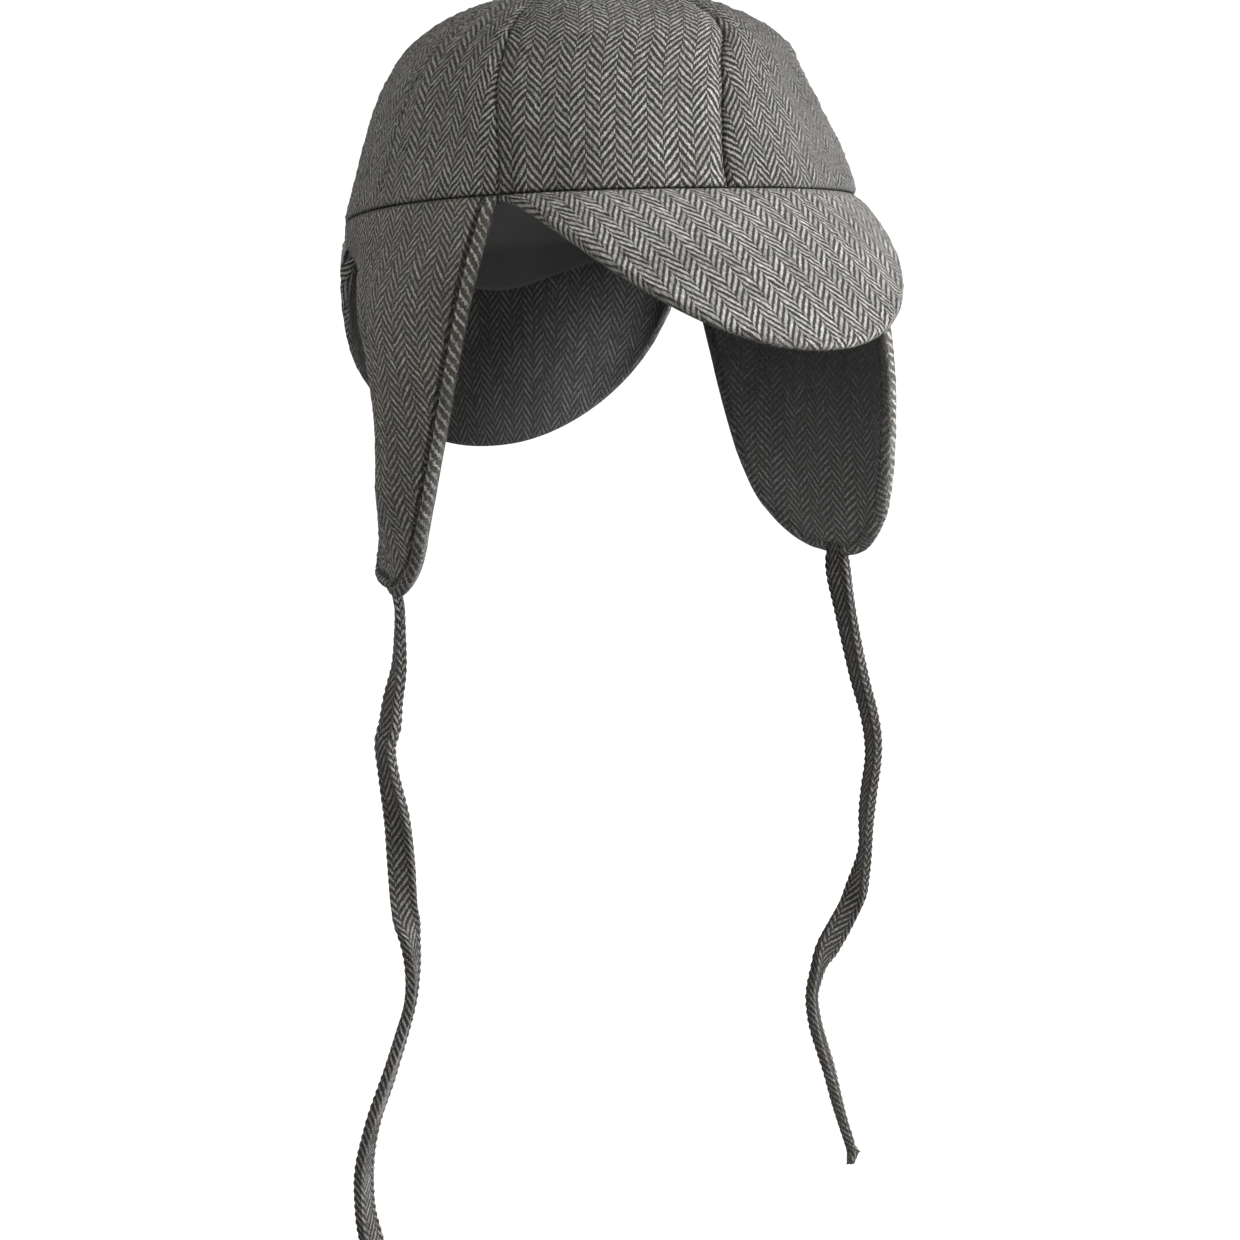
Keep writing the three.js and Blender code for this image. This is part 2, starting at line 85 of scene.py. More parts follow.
# Seams from the wearer's left round by the back: angle, and stray in degrees at foot and head.
SEAMS = np.array([
    (0.0, 0, 0),
    (DIAGONAL, 0, 0),
    (math.pi / 2, 0, 0),
    (math.pi - DIAGONAL, 0, 0),
    (math.pi, 9, 15),
    (math.pi + DIAGONAL, 0, -6),
    (math.pi * 1.5, 0, 15),
    (math.pi * 2 - DIAGONAL, 0, 0),
])
# Soft dents in the crown: angle, profile row, spread round, spread up, depth.
DENTS = [
    (3.95, 6.5, 0.22, 2.2, 0.0016),
    (3.35, 4.0, 0.3, 2.5, 0.0010),
    (4.45, 9.5, 0.25, 2.0, 0.0012),
    (5.25, 5.0, 0.22, 2.5, 0.0011),
    (0.45, 6.0, 0.3, 2.5, 0.0013),
    (1.75, 5.0, 0.3, 3.0, 0.0012),
]
FRONT_PEAK = dict(
    side=-1, length=0.0795, power=2.15, fall=1.4, slope=34.4, turn=-8.5, pull=2.0, camber=0.0030,
    flare=0.0, wing=0.0,
)
BACK_PEAK = dict(
    side=1, length=0.082, power=2.25, fall=0.73, slope=85.5, turn=-19.3, pull=-0.5, camber=0.0025,
    flare=0.005, wing=0.0015,
)
PEAK_END_LENGTH = 0.003
# Ear flap from the seam down: height, front x and y, rear x and y, bulge, in millimetres.
# The rows follow a fit to the photograph, with the lower ones changed.
FLAP_EDGES = np.array([
    (0, 64.7, -70.4, 64.7, 70.4, 23.3),
    (-24, 73.0, -72.2, 67.6, 57.5, 18.0),
    (-46, 78.5, -72.2, 68.8, 46.5, 13.0),
    (-68, 82.5, -70.0, 70.0, 36.2, 9.0),
    (-90, 85.6, -65.0, 72.5, 26.5, 6.0),
    (-110, 88.0, -57.5, 77.5, 17.5, 3.5),
    (-126, 90.0, -50.0, 83.0, 9.0, 2.0),
]) * 0.001
FLAP_BOTTOM = -0.1253
RIGHT_FLAP = dict(
    side=-1, front_start=0.5, front_rise=0.017, rear_start=0.3, rear_rise=0.024,
    curl=0.007, cup=0.0085, tuck=0.0055,
    creases=[(-0.22, 0.07, -0.0028), (-0.38, 0.08, 0.0010)],
    grain=-0.0005, inner_scale=1.0,
)
LEFT_FLAP = dict(
    side=1, front_start=0.25, front_rise=0.024, rear_start=0.35, rear_rise=0.022,
    curl=-0.001, cup=0.0, tuck=0.0, creases=[],
    grain=0.0, inner_scale=1.5,
)
CUP = dict(across=-0.46, before=0.54, behind=1.1, round=0.13)
# Soft upright folds in the ear flaps: place across, spread, depth.
FOLDS = [(-0.62, 0.16, 0.0015), (-0.1, 0.2, -0.0013), (0.45, 0.18, 0.0014)]
TIE_WIDTH = 0.009
TIE_THICKNESS = 0.0034
TIE_TURN_AXIS = 0.4218
# Routes of the two ties from the flap down: position in metres, and turn in degrees.
# The positions were worked out by a separate script, from points picked in the photograph.
RIGHT_TIE = [
    (-0.0886, -0.0331, -0.1208, 76),
    (-0.0882, -0.0328, -0.1261, 82),
    (-0.0876, -0.0330, -0.1305, 82),
    (-0.0877, -0.0330, -0.1393, 79),
    (-0.0883, -0.0328, -0.1509, 72),
    (-0.0904, -0.0319, -0.1622, 57),
    (-0.0915, -0.0313, -0.1710, 49),
    (-0.0932, -0.0306, -0.1785, 53),
    (-0.0922, -0.0310, -0.1896, 48),
    (-0.0900, -0.0320, -0.2051, 28),
    (-0.0890, -0.0325, -0.2208, 10),
    (-0.0883, -0.0328, -0.2370, -8),
    (-0.0867, -0.0335, -0.2481, -62),
    (-0.0859, -0.0339, -0.2596, -80),
    (-0.0868, -0.0335, -0.2724, -84),
    (-0.0902, -0.0320, -0.2856, -81),
    (-0.0950, -0.0298, -0.3020, -75),
    (-0.1002, -0.0274, -0.3189, -75),
    (-0.1033, -0.0261, -0.3356, -67),
    (-0.1034, -0.0260, -0.3524, -63),
    (-0.1016, -0.0268, -0.3643, -50),
    (-0.0993, -0.0279, -0.3752, -44),
]
LEFT_TIE = [
    (0.0876, -0.0250, -0.1205, 58),
    (0.0866, -0.0268, -0.1262, 48),
    (0.0860, -0.0295, -0.1325, 38),
    (0.0867, -0.0319, -0.1418, 49),
    (0.0897, -0.0332, -0.1571, 58),
    (0.0931, -0.0348, -0.1726, 64),
    (0.0962, -0.0361, -0.1843, 68),
    (0.0979, -0.0370, -0.1941, 70),
    (0.0983, -0.0371, -0.2040, 73),
    (0.0971, -0.0366, -0.2159, 75),
    (0.0964, -0.0362, -0.2278, 78),
    (0.0962, -0.0362, -0.2399, 81),
    (0.0948, -0.0355, -0.2500, 64),
    (0.0924, -0.0345, -0.2601, 22),
    (0.0882, -0.0326, -0.2703, 2),
    (0.0844, -0.0309, -0.2785, -12),
    (0.0812, -0.0294, -0.2867, -55),
    (0.0793, -0.0286, -0.2950, -66),
    (0.0788, -0.0284, -0.3018, -75),
    (0.0803, -0.0290, -0.3116, -76),
    (0.0831, -0.0303, -0.3221, -76),
    (0.0855, -0.0314, -0.3305, -78),
    (0.0885, -0.0327, -0.3432, -83),
    (0.0913, -0.0339, -0.3538, -85),
    (0.0938, -0.0351, -0.3624, -84),
    (0.0949, -0.0356, -0.3678, -70),
]

# Camera, fitted to points picked in the photograph.
CAMERA_PLACE = (-0.30567, -0.70198, 0.01403)
CAMERA_AZIMUTH = -24.166
CAMERA_PITCH = -11.956
CAMERA_LENS = 60.97

UV_NAME = "cloth"
MICRON = 1e-6
# Distance given to cloth that has no seam or edge near it.
FAR = 0.05
# Where on the cloth each kind of piece is cut, so that no two show the same stretch.
GORE_STEP = 0.26
GORE_INSIDE = 0.31
PEAK_OUTSIDE = 2.0
PEAK_INSIDE = (0.4, 2.4)
FLAP_OUTSIDE = 4.0
FLAP_INSIDE = 4.4
TIE_OUTSIDE = 6.0
# Noises on the cloth: waves a metre, detail and roughness.
NOISES = {
    "drift_across": (55.0, 1.0, 0.5),
    "drift_down": (70.0, 2.0, 0.5),
    "jitter": (900.0, 1.0, 0.5),
    "thin": (1500.0, 2.0, 0.5),
    "fibre": (3200.0, 2.0, 0.5),
    "slub": (420.0, 2.0, 0.5),
    "tone": (38.0, 3.0, 0.5),
    "streak": (1.0, 2.0, 0.5),
    "rub": (260.0, 3.0, 0.5),
    "warmth": (120.0, 3.0, 0.5),
    "specks": (1900.0, 2.0, 0.5),
    "nap_fine": (800.0, 3.0, 0.5),
    "nap_patches": (120.0, 2.0, 0.5),
    "mottle": (1100.0, 3.0, 0.7),
    "lining_tone": (60.0, 3.0, 0.5),
    "lining_grain": (900.0, 2.0, 0.5),
}
# How far the herringbone's rows wander, across, down, and from yarn to yarn.
DRIFT_ACROSS = 0.0013
DRIFT_DOWN = 0.0020
JITTER = 0.0010
STREAK_SCALE = (300.0, 22.0, 1.0)
WEAVE_HEIGHT = 0.00045
# Ribs of the lining, in radians a metre across and down.
LINING_RIBS = (4200.0, 5600.0)


class HatCloth(bpy.types.PropertyGroup):
    """The tweed, the lining and how they are sewn."""

    light_yarn: bpy.props.FloatVectorProperty(
        name="Light yarn", description="Colour of the pale yarn", default=(0.53, 0.522, 0.510),
        subtype="COLOR",
    )
    dark_yarn: bpy.props.FloatVectorProperty(
        name="Dark yarn", description="Colour of the dark yarn", default=(0.040, 0.037, 0.033),
        subtype="COLOR",
    )
    lining_colour: bpy.props.FloatVectorProperty(
        name="Lining", description="Colour of the lining", default=(0.262, 0.262, 0.264), subtype="COLOR"
    )
    column_width: bpy.props.FloatProperty(
        name="Column", description="Width of one herringbone column", default=0.00485,
        unit="LENGTH", precision=5,
    )
    stroke_pitch: bpy.props.FloatProperty(
        name="Stroke pitch", description="Distance between strokes down a column", default=0.00300,
        unit="LENGTH", precision=5,
    )
    seam_dip: bpy.props.FloatProperty(
        name="Seam dip", description="How deep a seam draws the cloth in", default=0.0012,
        unit="LENGTH", precision=4,
    )
    seam_roll: bpy.props.FloatProperty(
        name="Seam roll", description="Width of the rounded cloth beside a seam", default=0.0028,
        unit="LENGTH", precision=4,
    )
    pucker: bpy.props.FloatProperty(
        name="Pucker", description="Height of the small puckers along seams", default=0.00022,
        unit="LENGTH", precision=5,
    )


class HatStage(bpy.types.PropertyGroup):
    """The studio round the hat."""

    floor_height: bpy.props.FloatProperty(
        name="Floor", description="Height of the floor", default=-0.46, unit="LENGTH"
    )
    floor_colour: bpy.props.FloatVectorProperty(
        name="Floor colour", description="How pale a light the floor throws back",
        default=(0.22, 0.22, 0.22), subtype="COLOR",
    )
    air: bpy.props.FloatProperty(
        name="Room light", description="Strength of the even light from all round", default=0.56
    )
    key_power: bpy.props.FloatProperty(
        name="Key light", description="Power of the main light", default=50.0, unit="POWER"
    )


def ease(low, high, value):
    """Smooth step from 0 to 1 between two values."""
    t = np.clip((np.asarray(value, float) - low) / (high - low), 0, 1)
    return t * t * (3 - 2 * t)


def smooth_row(values, at):
    """Values on a smooth curve through evenly numbered rows."""
    values = np.asarray(values, float)
    last = len(values) - 1
    place = np.clip(at, 0, last)
    i = np.minimum(last - 1, np.floor(place)).astype(int)
    t = place - i
    padded = np.concatenate([[2 * values[0] - values[1]], values, [2 * values[-1] - values[-2]]])
    a, b, c, d = padded[i], padded[i + 1], padded[i + 2], padded[i + 3]
    return b + 0.5 * t * ((c - a) + t * ((2 * a - 5 * b + 4 * c - d) + t * (-a + 3 * b - 3 * c + d)))


def rim_height(y):
    """Height of the rim at a distance behind the middle."""
    return -RIM_SLOPE * y + RIM_BOW * ((y / HALF_LENGTH) ** 2 - 0.5)


def seam_angle(place, row):
    """Angle round the hat of a place counted in seams."""
    whole = np.floor(place).astype(int)
    ends = []
    for number in (whole, whole + 1):
        turns = number // 8
        seam = SEAMS[number - 8 * turns]
        stray = seam[..., 1] + (seam[..., 2] - seam[..., 1]) * ease(1, 10, row)
        ends.append(seam[..., 0] + turns * 2 * math.pi + np.radians(stray))
    return ends[0] + (ends[1] - ends[0]) * (place - whole)


def crown_point(place, row):
    """A point of the crown's outer face: place in seams, and row of the profile, below zero straight down."""
    place, row = np.broadcast_arrays(np.asarray(place, float), np.asarray(row, float))
    angle = seam_angle(place, row)
    share = smooth_row(PROFILE_SHARE, np.maximum(0, row))
    rise = smooth_row(PROFILE_HEIGHT, np.maximum(0, row))
    panel = np.floor(place).astype(int) % 8
    flat = PANEL_FLATNESS[panel] * ease(0, 4, row) * 0.5 * (1 - np.cos(2 * math.pi * place))
    reach = share * (1 - flat)
    for dent_angle, dent_row, wide, tall, depth in DENTS:
        turned = np.arctan2(np.sin(angle - dent_angle), np.cos(angle - dent_angle)) / wide
        up = (row - dent_row) / tall
        reach = reach - depth / HALF_LENGTH * np.exp(-turned**2 - up**2)
    sway = CROWN_SWAY * ease(0, 0.040, rise) * (1 - ease(0.042, 0.064, rise))
    x = HALF_WIDTH * np.cos(angle) * reach + sway
    y = HALF_LENGTH * np.sin(angle) * reach
    rim = rim_height(HALF_LENGTH * np.sin(angle))
    z = rim * (1 - ease(0, 0.074, rise)) + rise + np.minimum(0, row) * 0.005
    return np.stack([x, y, z], axis=-1)


def unit(vectors):
    """The vectors at length one."""
    return vectors / np.maximum(np.linalg.norm(vectors, axis=-1, keepdims=True), 1e-12)


def normal_at(point, u, v, step_u, step_v):
    """Outward normals of a surface given as point(u, v)."""
    along_u = point(u + step_u, v) - point(u - step_u, v)
    along_v = point(u, v + step_v) - point(u, v - step_v)
    return unit(np.cross(along_u, along_v))


def ramble(seed, *places):
    """A smooth, repeatable wander between about -1 and 1 over one or more coordinates."""
    rng = np.random.default_rng(seed)
    total = 0
    for _ in range(5):
        waves = sum(p * rng.normal(0, 1) for p in places)
        total = total + np.sin(waves + rng.uniform(0, 2 * math.pi))
    return total / 3.0


FUZZ = 0.00015


def fuzz(seed, shape):
    """The rough nap of the cloth: a small random height at each point."""
    return np.random.default_rng(seed).normal(0, FUZZ, shape)


def seam_roll(distance, dip, roll):
    """How far cloth dips beside a seam: a rounded shoulder of the given width."""
    t = np.clip(1 - distance / roll, 0, 1)
    return dip * (1 - np.sqrt(np.maximum(0, 1 - t**2)))


def edge_places(length, near, spacing):
    """Places from 0 to length, close together at both ends and evenly spaced between."""
    near = [d for d in near if d < length * 0.45]
    start = near[-1]
    count = max(2, int(round((length - 2 * start) / spacing)))
    middle = list(np.linspace(start, length - start, count + 1))[1:-1]
    return np.array(near + middle + [length - d for d in reversed(near)])


def flat_widths(points):
    """Distance along each row of a grid (columns, rows, 3), measured from its first column."""
    steps = np.linalg.norm(np.diff(points, axis=0), axis=-1)
    return np.concatenate([np.zeros((1, points.shape[1])), np.cumsum(steps, axis=0)])


def flat_lengths(points):
    """Distance down each column of a grid, measured from its first row."""
    steps = np.linalg.norm(np.diff(points, axis=1), axis=-1)
    return np.concatenate([np.zeros((points.shape[0], 1)), np.cumsum(steps, axis=1)], axis=1)


def grid_faces(columns, rows, start=0, flip=False):
    """Quads of a grid whose points are stored column by column."""
    i, j = np.meshgrid(np.arange(columns - 1), np.arange(rows - 1), indexing="ij")
    a = (start + i * rows + j).ravel()
    quads = np.stack([a, a + rows, a + rows + 1, a + 1], axis=1)
    return quads[:, ::-1] if flip else quads


def put_values(mesh, label, values):
    """Writes one value for each point of a mesh."""
    spots = mesh.attributes.new(label, "FLOAT", "POINT")
    spots.data.foreach_set("value", np.ascontiguousarray(values, np.float32).ravel())


def put_pattern(mesh, uv):
    """Writes the flat pattern of a mesh's points as its UV map."""
    layer = mesh.uv_layers.new(name=UV_NAME)
    corners = np.zeros(len(mesh.loops), np.int32)
    mesh.loops.foreach_get("vertex_index", corners)
    layer.data.foreach_set("uv", uv[corners].astype(np.float32).ravel())


def cloth_piece(name, skins, patterns, seam, edge, closed_sides, lip=None, tone_and_painted_shade=None, nap=None):
    """A closed piece of cloth from its outer and inner grid, with its flat pattern and edge distances."""
    lip = np.stack([edge, edge], axis=-1) if lip is None else lip
    tone_and_painted_shade = np.ones_like(edge) if tone_and_painted_shade is None else tone_and_painted_shade
    nap = np.zeros_like(edge) if nap is None else nap
    columns, rows = edge.shape
    count = columns * rows
    points = np.concatenate([skin.reshape(-1, 3) for skin in skins])
    uv = np.concatenate([pattern.reshape(-1, 2) for pattern in patterns])
    faces = [grid_faces(columns, rows), grid_faces(columns, rows, count, flip=True)]
    strips = {
        "foot": np.arange(columns) * rows,
        "head": np.arange(columns)[::-1] * rows + rows - 1,
        "start": np.arange(rows)[::-1],
        "finish": (columns - 1) * rows + np.arange(rows),
    }
    for side in closed_sides:
        line = strips[side]
        faces.append(np.stack([line[1:], line[:-1], line[:-1] + count, line[1:] + count], axis=1))
    faces = np.concatenate(faces)
    mesh = bpy.data.meshes.new(name)
    mesh.from_pydata(points.tolist(), [], faces.tolist())
    # Each point's painted shade is written with its distances and its nap.
    spots = {"seam": seam, "edge": edge, "hem": lip[..., 0], "run": lip[..., 1], "tone_and_painted_shade": tone_and_painted_shade, "nap": nap}
    for label, values in spots.items():
        put_values(mesh, label, [values, values])
    put_values(mesh, "inside", [np.zeros(count), np.ones(count)])
    put_pattern(mesh, uv)
    return finished(name, mesh)


def finished(name, mesh):
    """An object for a mesh, with its doubles merged and its normals facing outward."""
    work = bmesh.new()
    work.from_mesh(mesh)
    bmesh.ops.remove_doubles(work, verts=work.verts, dist=2 * MICRON)
    bmesh.ops.dissolve_degenerate(work, edges=work.edges, dist=MICRON)
    bmesh.ops.recalc_face_normals(work, faces=work.faces)
    for face in work.faces:
        face.smooth = True
    work.to_mesh(mesh)
    work.free()
    piece = bpy.data.objects.new(name, mesh)
    bpy.context.scene.collection.objects.link(piece)
    return piece


def dress(piece, material, node):
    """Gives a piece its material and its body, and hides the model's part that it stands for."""
    piece.data.materials.append(material)
    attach(piece, "root")
    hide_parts(node)


def flat_size(uv, surface):
    """Width and length of a flat pattern, and the area of the surface that it makes."""
    low, high = uv.reshape(-1, 2).min(0), uv.reshape(-1, 2).max(0)
    a, b = surface[1:, :-1] - surface[:-1, :-1], surface[:-1, 1:] - surface[:-1, :-1]
    c, d = surface[1:, 1:] - surface[:-1, 1:], surface[1:, 1:] - surface[1:, :-1]
    area = 0.5 * (np.linalg.norm(np.cross(a, b), axis=-1) + np.linalg.norm(np.cross(c, d), axis=-1)).sum()
    width, length = (high - low).tolist()
    return (width, length), float(min(area, width * length))


class Graph:
    """Adds nodes to a tree and links them; a number or a colour in place of a link is set on the socket."""

    def __init__(self, tree):
        self.tree = tree
        self.step = 0

    def node(self, kind, inputs=None, **settings):
        made = self.tree.nodes.new(kind)
        made.location = (180 * (self.step % 12), -220 * (self.step // 12))
        self.step += 1
        for name, value in settings.items():
            setattr(made, name, value)
        for key, value in (inputs or {}).items():
            self.set(made.inputs[key], value)
        return made

    def set(self, socket, value):
        if isinstance(value, bpy.types.NodeSocket):
            self.tree.links.new(value, socket)
        else:
            socket.default_value = value

    def math(self, operation, *values, clamp=False):
        made = self.node("ShaderNodeMath", operation=operation, use_clamp=clamp)
        for socket, value in zip(made.inputs, values):
            self.set(socket, value)
        return made.outputs[0]

    def range(self, value, low, high, to_low=0.0, to_high=1.0, kind="SMOOTHSTEP"):
        made = self.node("ShaderNodeMapRange", interpolation_type=kind)
        for socket, number in zip(made.inputs, (value, low, high, to_low, to_high)):
            self.set(socket, number)
        return made.outputs[0]

    def noise(self, vector, kind):
        scale, detail, rough = NOISES[kind]
        inputs = {"Scale": scale, "Detail": detail, "Roughness": rough, "Vector": vector}
        return self.node("ShaderNodeTexNoise", inputs).outputs[0]

    def mix(self, share, low, high, blend="MIX"):
        made = self.node("ShaderNodeMix", data_type="RGBA", blend_type=blend)
        for socket, value in ((made.inputs[0], share), (made.inputs[6], low), (made.inputs[7], high)):
            self.set(socket, value)
        return made.outputs[2]

    def times(self, a, b, clamp=False):
        return self.math("MULTIPLY", a, b, clamp=clamp)

    def plus(self, a, b):
        return self.math("ADD", a, b)

    def minus(self, a, b):
        return self.math("SUBTRACT", a, b)

    def attribute(self, name):
        return self.node("ShaderNodeAttribute", attribute_name=name).outputs["Fac"]

    def tinted(self, colour, value):
        grey = self.node("ShaderNodeCombineColor", {0: value, 1: value, 2: value}).outputs[0]
        return self.mix(1.0, colour, grey, "MULTIPLY")


def new_material(name):
    """An empty material, and the graph that fills it."""
    material = bpy.data.materials.new(name)
    material.use_nodes = True
    material.node_tree.nodes.clear()
    return material, Graph(material.node_tree)


def new_group(name, inputs, outputs):
    """An empty shader node group with its sockets."""
    tree = bpy.data.node_groups.new(name, "ShaderNodeTree")
    for label, kind, default in inputs:
        socket = tree.interface.new_socket(label, in_out="INPUT", socket_type=kind)
        if default is not None:
            socket.default_value = default
    for label, kind in outputs:
        tree.interface.new_socket(label, in_out="OUTPUT", socket_type=kind)
    return tree, Graph(tree)


def herringbone_group():
    """Slanted strokes in columns that turn about: a mask of the pale yarn, and the height of the yarns."""
    if "Herringbone" in bpy.data.node_groups:
        return bpy.data.node_groups["Herringbone"]
    tree, g = new_group(
        "Herringbone",
        [
            ("Cloth", "NodeSocketVector", None),
            ("Column", "NodeSocketFloat", 0.0052),
            ("Pitch", "NodeSocketFloat", 0.00335),
            ("Pale share", "NodeSocketFloat", 0.46),
            ("Softness", "NodeSocketFloat", 0.35),
            ("Unevenness", "NodeSocketFloat", 1.5),
        ],
        [("Pale", "NodeSocketFloat"), ("Height", "NodeSocketFloat"), ("Slub", "NodeSocketFloat")],
    )
    source = g.node("NodeGroupInput")
    cloth, column, pitch = source.outputs["Cloth"], source.outputs["Column"], source.outputs["Pitch"]
    parts = g.node("ShaderNodeSeparateXYZ", {0: cloth})
    drift_u = g.minus(g.noise(cloth, "drift_across"), 0.5)
    aside = g.node("ShaderNodeVectorMath", {0: cloth, 1: (3.1, 1.7, 0)}).outputs[0]
    drift_v = g.minus(g.noise(aside, "drift_down"), 0.5)
    jitter = g.minus(g.noise(cloth, "jitter"), 0.5)
    u = g.plus(parts.outputs[0], g.times(drift_u, DRIFT_ACROSS))
    v = g.plus(parts.outputs[1], g.times(drift_v, DRIFT_DOWN))
    v = g.plus(v, g.times(jitter, JITTER))
    across = g.math("DIVIDE", u, column)
    number = g.math("FLOOR", across)
    odd = g.math("FLOORED_MODULO", number, 2.0)
    side = g.math("MULTIPLY_ADD", odd, 2.0, -1.0)
    inside = g.minus(across, g.plus(number, 0.5))
    ends = g.times(inside, 8.0)
    stepped = g.math("DIVIDE", g.plus(g.math("FLOOR", ends), 0.5), 8.0)
    blend = g.plus(g.times(inside, 0.45), g.times(stepped, 0.55))
    down = g.math("DIVIDE", v, pitch)
    slant = g.times(g.times(side, blend), 2.0)
    phase = g.plus(g.plus(down, slant), g.times(odd, 0.5))
    wave = g.math("SINE", g.times(phase, 2 * math.pi))
    stroke = g.node("ShaderNodeCombineXYZ", {0: number, 1: g.math("FLOOR", g.plus(phase, 0.25))})
    own = g.node("ShaderNodeTexWhiteNoise", {"Vector": stroke.outputs[0]}, noise_dimensions="2D").outputs[0]
    thin = g.minus(g.noise(cloth, "thin"), 0.5)
    bias = g.times(g.minus(0.5, source.outputs["Pale share"]), math.pi)
    bias = g.plus(bias, g.times(g.minus(own, 0.5), 0.35))
    bias = g.plus(bias, g.times(thin, source.outputs["Unevenness"]))
    soft = source.outputs["Softness"]
    pale = g.range(wave, g.minus(bias, soft), g.plus(bias, soft))
    joint = g.range(g.math("ABSOLUTE", inside), 0.5, 0.44, 0.25, 1.0)
    pale = g.times(pale, joint)
    pick = g.math("ABSOLUTE", g.math("SINE", g.times(down, 4 * math.pi)))
    end = g.math("ABSOLUTE", g.math("SINE", g.times(ends, math.pi)))
    raised = g.times(pale, g.math("MULTIPLY_ADD", pick, 0.35, 0.65))
    sunk = g.times(g.minus(1.0, pale), g.math("MULTIPLY_ADD", end, 0.3, 0.1))
    fibre = g.noise(cloth, "fibre")
    height = g.plus(g.plus(raised, sunk), g.times(fibre, 0.35))
    bead = g.math("ABSOLUTE", g.math("SINE", g.times(inside, 3 * math.pi)))
    bead = g.minus(bead, 0.6)
    slub = g.plus(g.times(g.noise(cloth, "slub"), 0.5), g.times(fibre, 0.5))
    slub = g.plus(slub, g.times(g.minus(own, 0.5), 0.20))
    slub = g.plus(slub, g.times(bead, 0.16))
    g.node("NodeGroupOutput", {"Pale": pale, "Height": height, "Slub": slub})
    return tree


def wear_and_seam_shade_group():
    """Wear and painted shade: worn edges, painted shade beside the seams, and slow changes of tone over the
    cloth.
    """
    if "Wear and seam shade" in bpy.data.node_groups:
        return bpy.data.node_groups["Wear and seam shade"]
    tree, g = new_group(
        "Wear and seam shade",
        [
            ("Cloth", "NodeSocketVector", None),
            ("Seam", "NodeSocketFloat", 1.0),
            ("Edge", "NodeSocketFloat", 1.0),
            ("Seam shade width", "NodeSocketFloat", 0.0016),
            ("Edge width", "NodeSocketFloat", 0.0014),
        ],
        [("Tone", "NodeSocketFloat"), ("Worn", "NodeSocketFloat"), ("Warmth", "NodeSocketFloat")],
    )
    source = g.node("NodeGroupInput")
    cloth = source.outputs["Cloth"]
    slow = g.range(g.noise(cloth, "tone"), 0.25, 0.75, 0.86, 1.12, "LINEAR")
    streaks = g.node("ShaderNodeMapping", {"Vector": cloth, "Scale": STREAK_SCALE})
    streak = g.range(g.noise(streaks.outputs[0], "streak"), 0.25, 0.75, 0.93, 1.07, "LINEAR")
    # Painted shade: the cloth is darker close to a seam.
    seam = g.range(source.outputs["Seam"], 0.0, source.outputs["Seam shade width"], 0.48, 1.0)
    tone = g.times(g.times(slow, streak), seam)
    rub = g.range(g.noise(cloth, "rub"), 0.35, 0.7)
    edge = g.range(source.outputs["Edge"], 0.0, source.outputs["Edge width"], 1.0, 0.0)
    worn = g.times(edge, rub)
    warmth = g.range(g.noise(cloth, "warmth"), 0.35, 0.65, 0.0, 1.0)
    g.node("NodeGroupOutput", {"Tone": tone, "Worn": worn, "Warmth": warmth})
    return tree


# How much the pattern is squeezed across a flap's lip and which column it starts at, so that one fills it.
LIP_SQUEEZE = 0.62
LIP_COLUMN = 1.7


def four(colour):
    """The colour with full opacity."""
    return (*colour[:3], 1.0)


# How each piece's tweed differs: share of pale yarn, column and pitch against the plain cloth's,
# unevenness of the strokes, brightness of dark and pale yarn, and the same on the inside. The brightnesses,
# and partly the shares, are set to the light each piece falls in: painted light and shade. On the inside
# the dark yarn is made lighter and the pale yarn darker: painted light and shade for the dim inside of the
# hat.
TWEEDS = {
    "tweed_crown": dict(
        share=0.44, column=1.0, pitch=1.0, uneven=2.1, lift=1.1, pale=1.0, inside_dark=1.0, inside_pale=1.0
    ),
    "tweed_peaks": dict(
        share=0.50, column=0.91, pitch=1.13, uneven=1.8, lift=1.2, pale=1.0, inside_dark=1.6, inside_pale=0.37
    ),
    "tweed_flaps": dict(
        share=0.39, column=1.0, pitch=0.93, uneven=2.8, lift=2.1, pale=0.94, inside_dark=3.4, inside_pale=0.85
    ),
    "tweed_ties": dict(
        share=0.42, column=1.0, pitch=1.0, uneven=1.9, lift=1.1, pale=0.58, inside_dark=1.0, inside_pale=1.0
    ),
}
# Share of pale yarn in the raised nap.
NAP_PALE = 0.42
# A flap's lip: stretch of the pattern along it, its painted light high up and painted shade low down on the
# flap and the heights between which that changes, how much less pale yarn it has, and the length of a stitch
# beside it.
LIP_STRETCH = 0.80
LIP_PAINTED_LIGHT = 1.25
LIP_PAINTED_SHADE = 0.8
LIP_LIT_ABOVE = -0.085
LIP_SHADED_BELOW = -0.110
LIP_SHARE = 0.02
STITCH_LENGTH = 0.0027
# Height on a flap and painted shade of the pale yarn inside it, near the top and near the foot.
INSIDE_TOP = (-0.035, 0.45)
INSIDE_FOOT = (-0.105, 1.25)


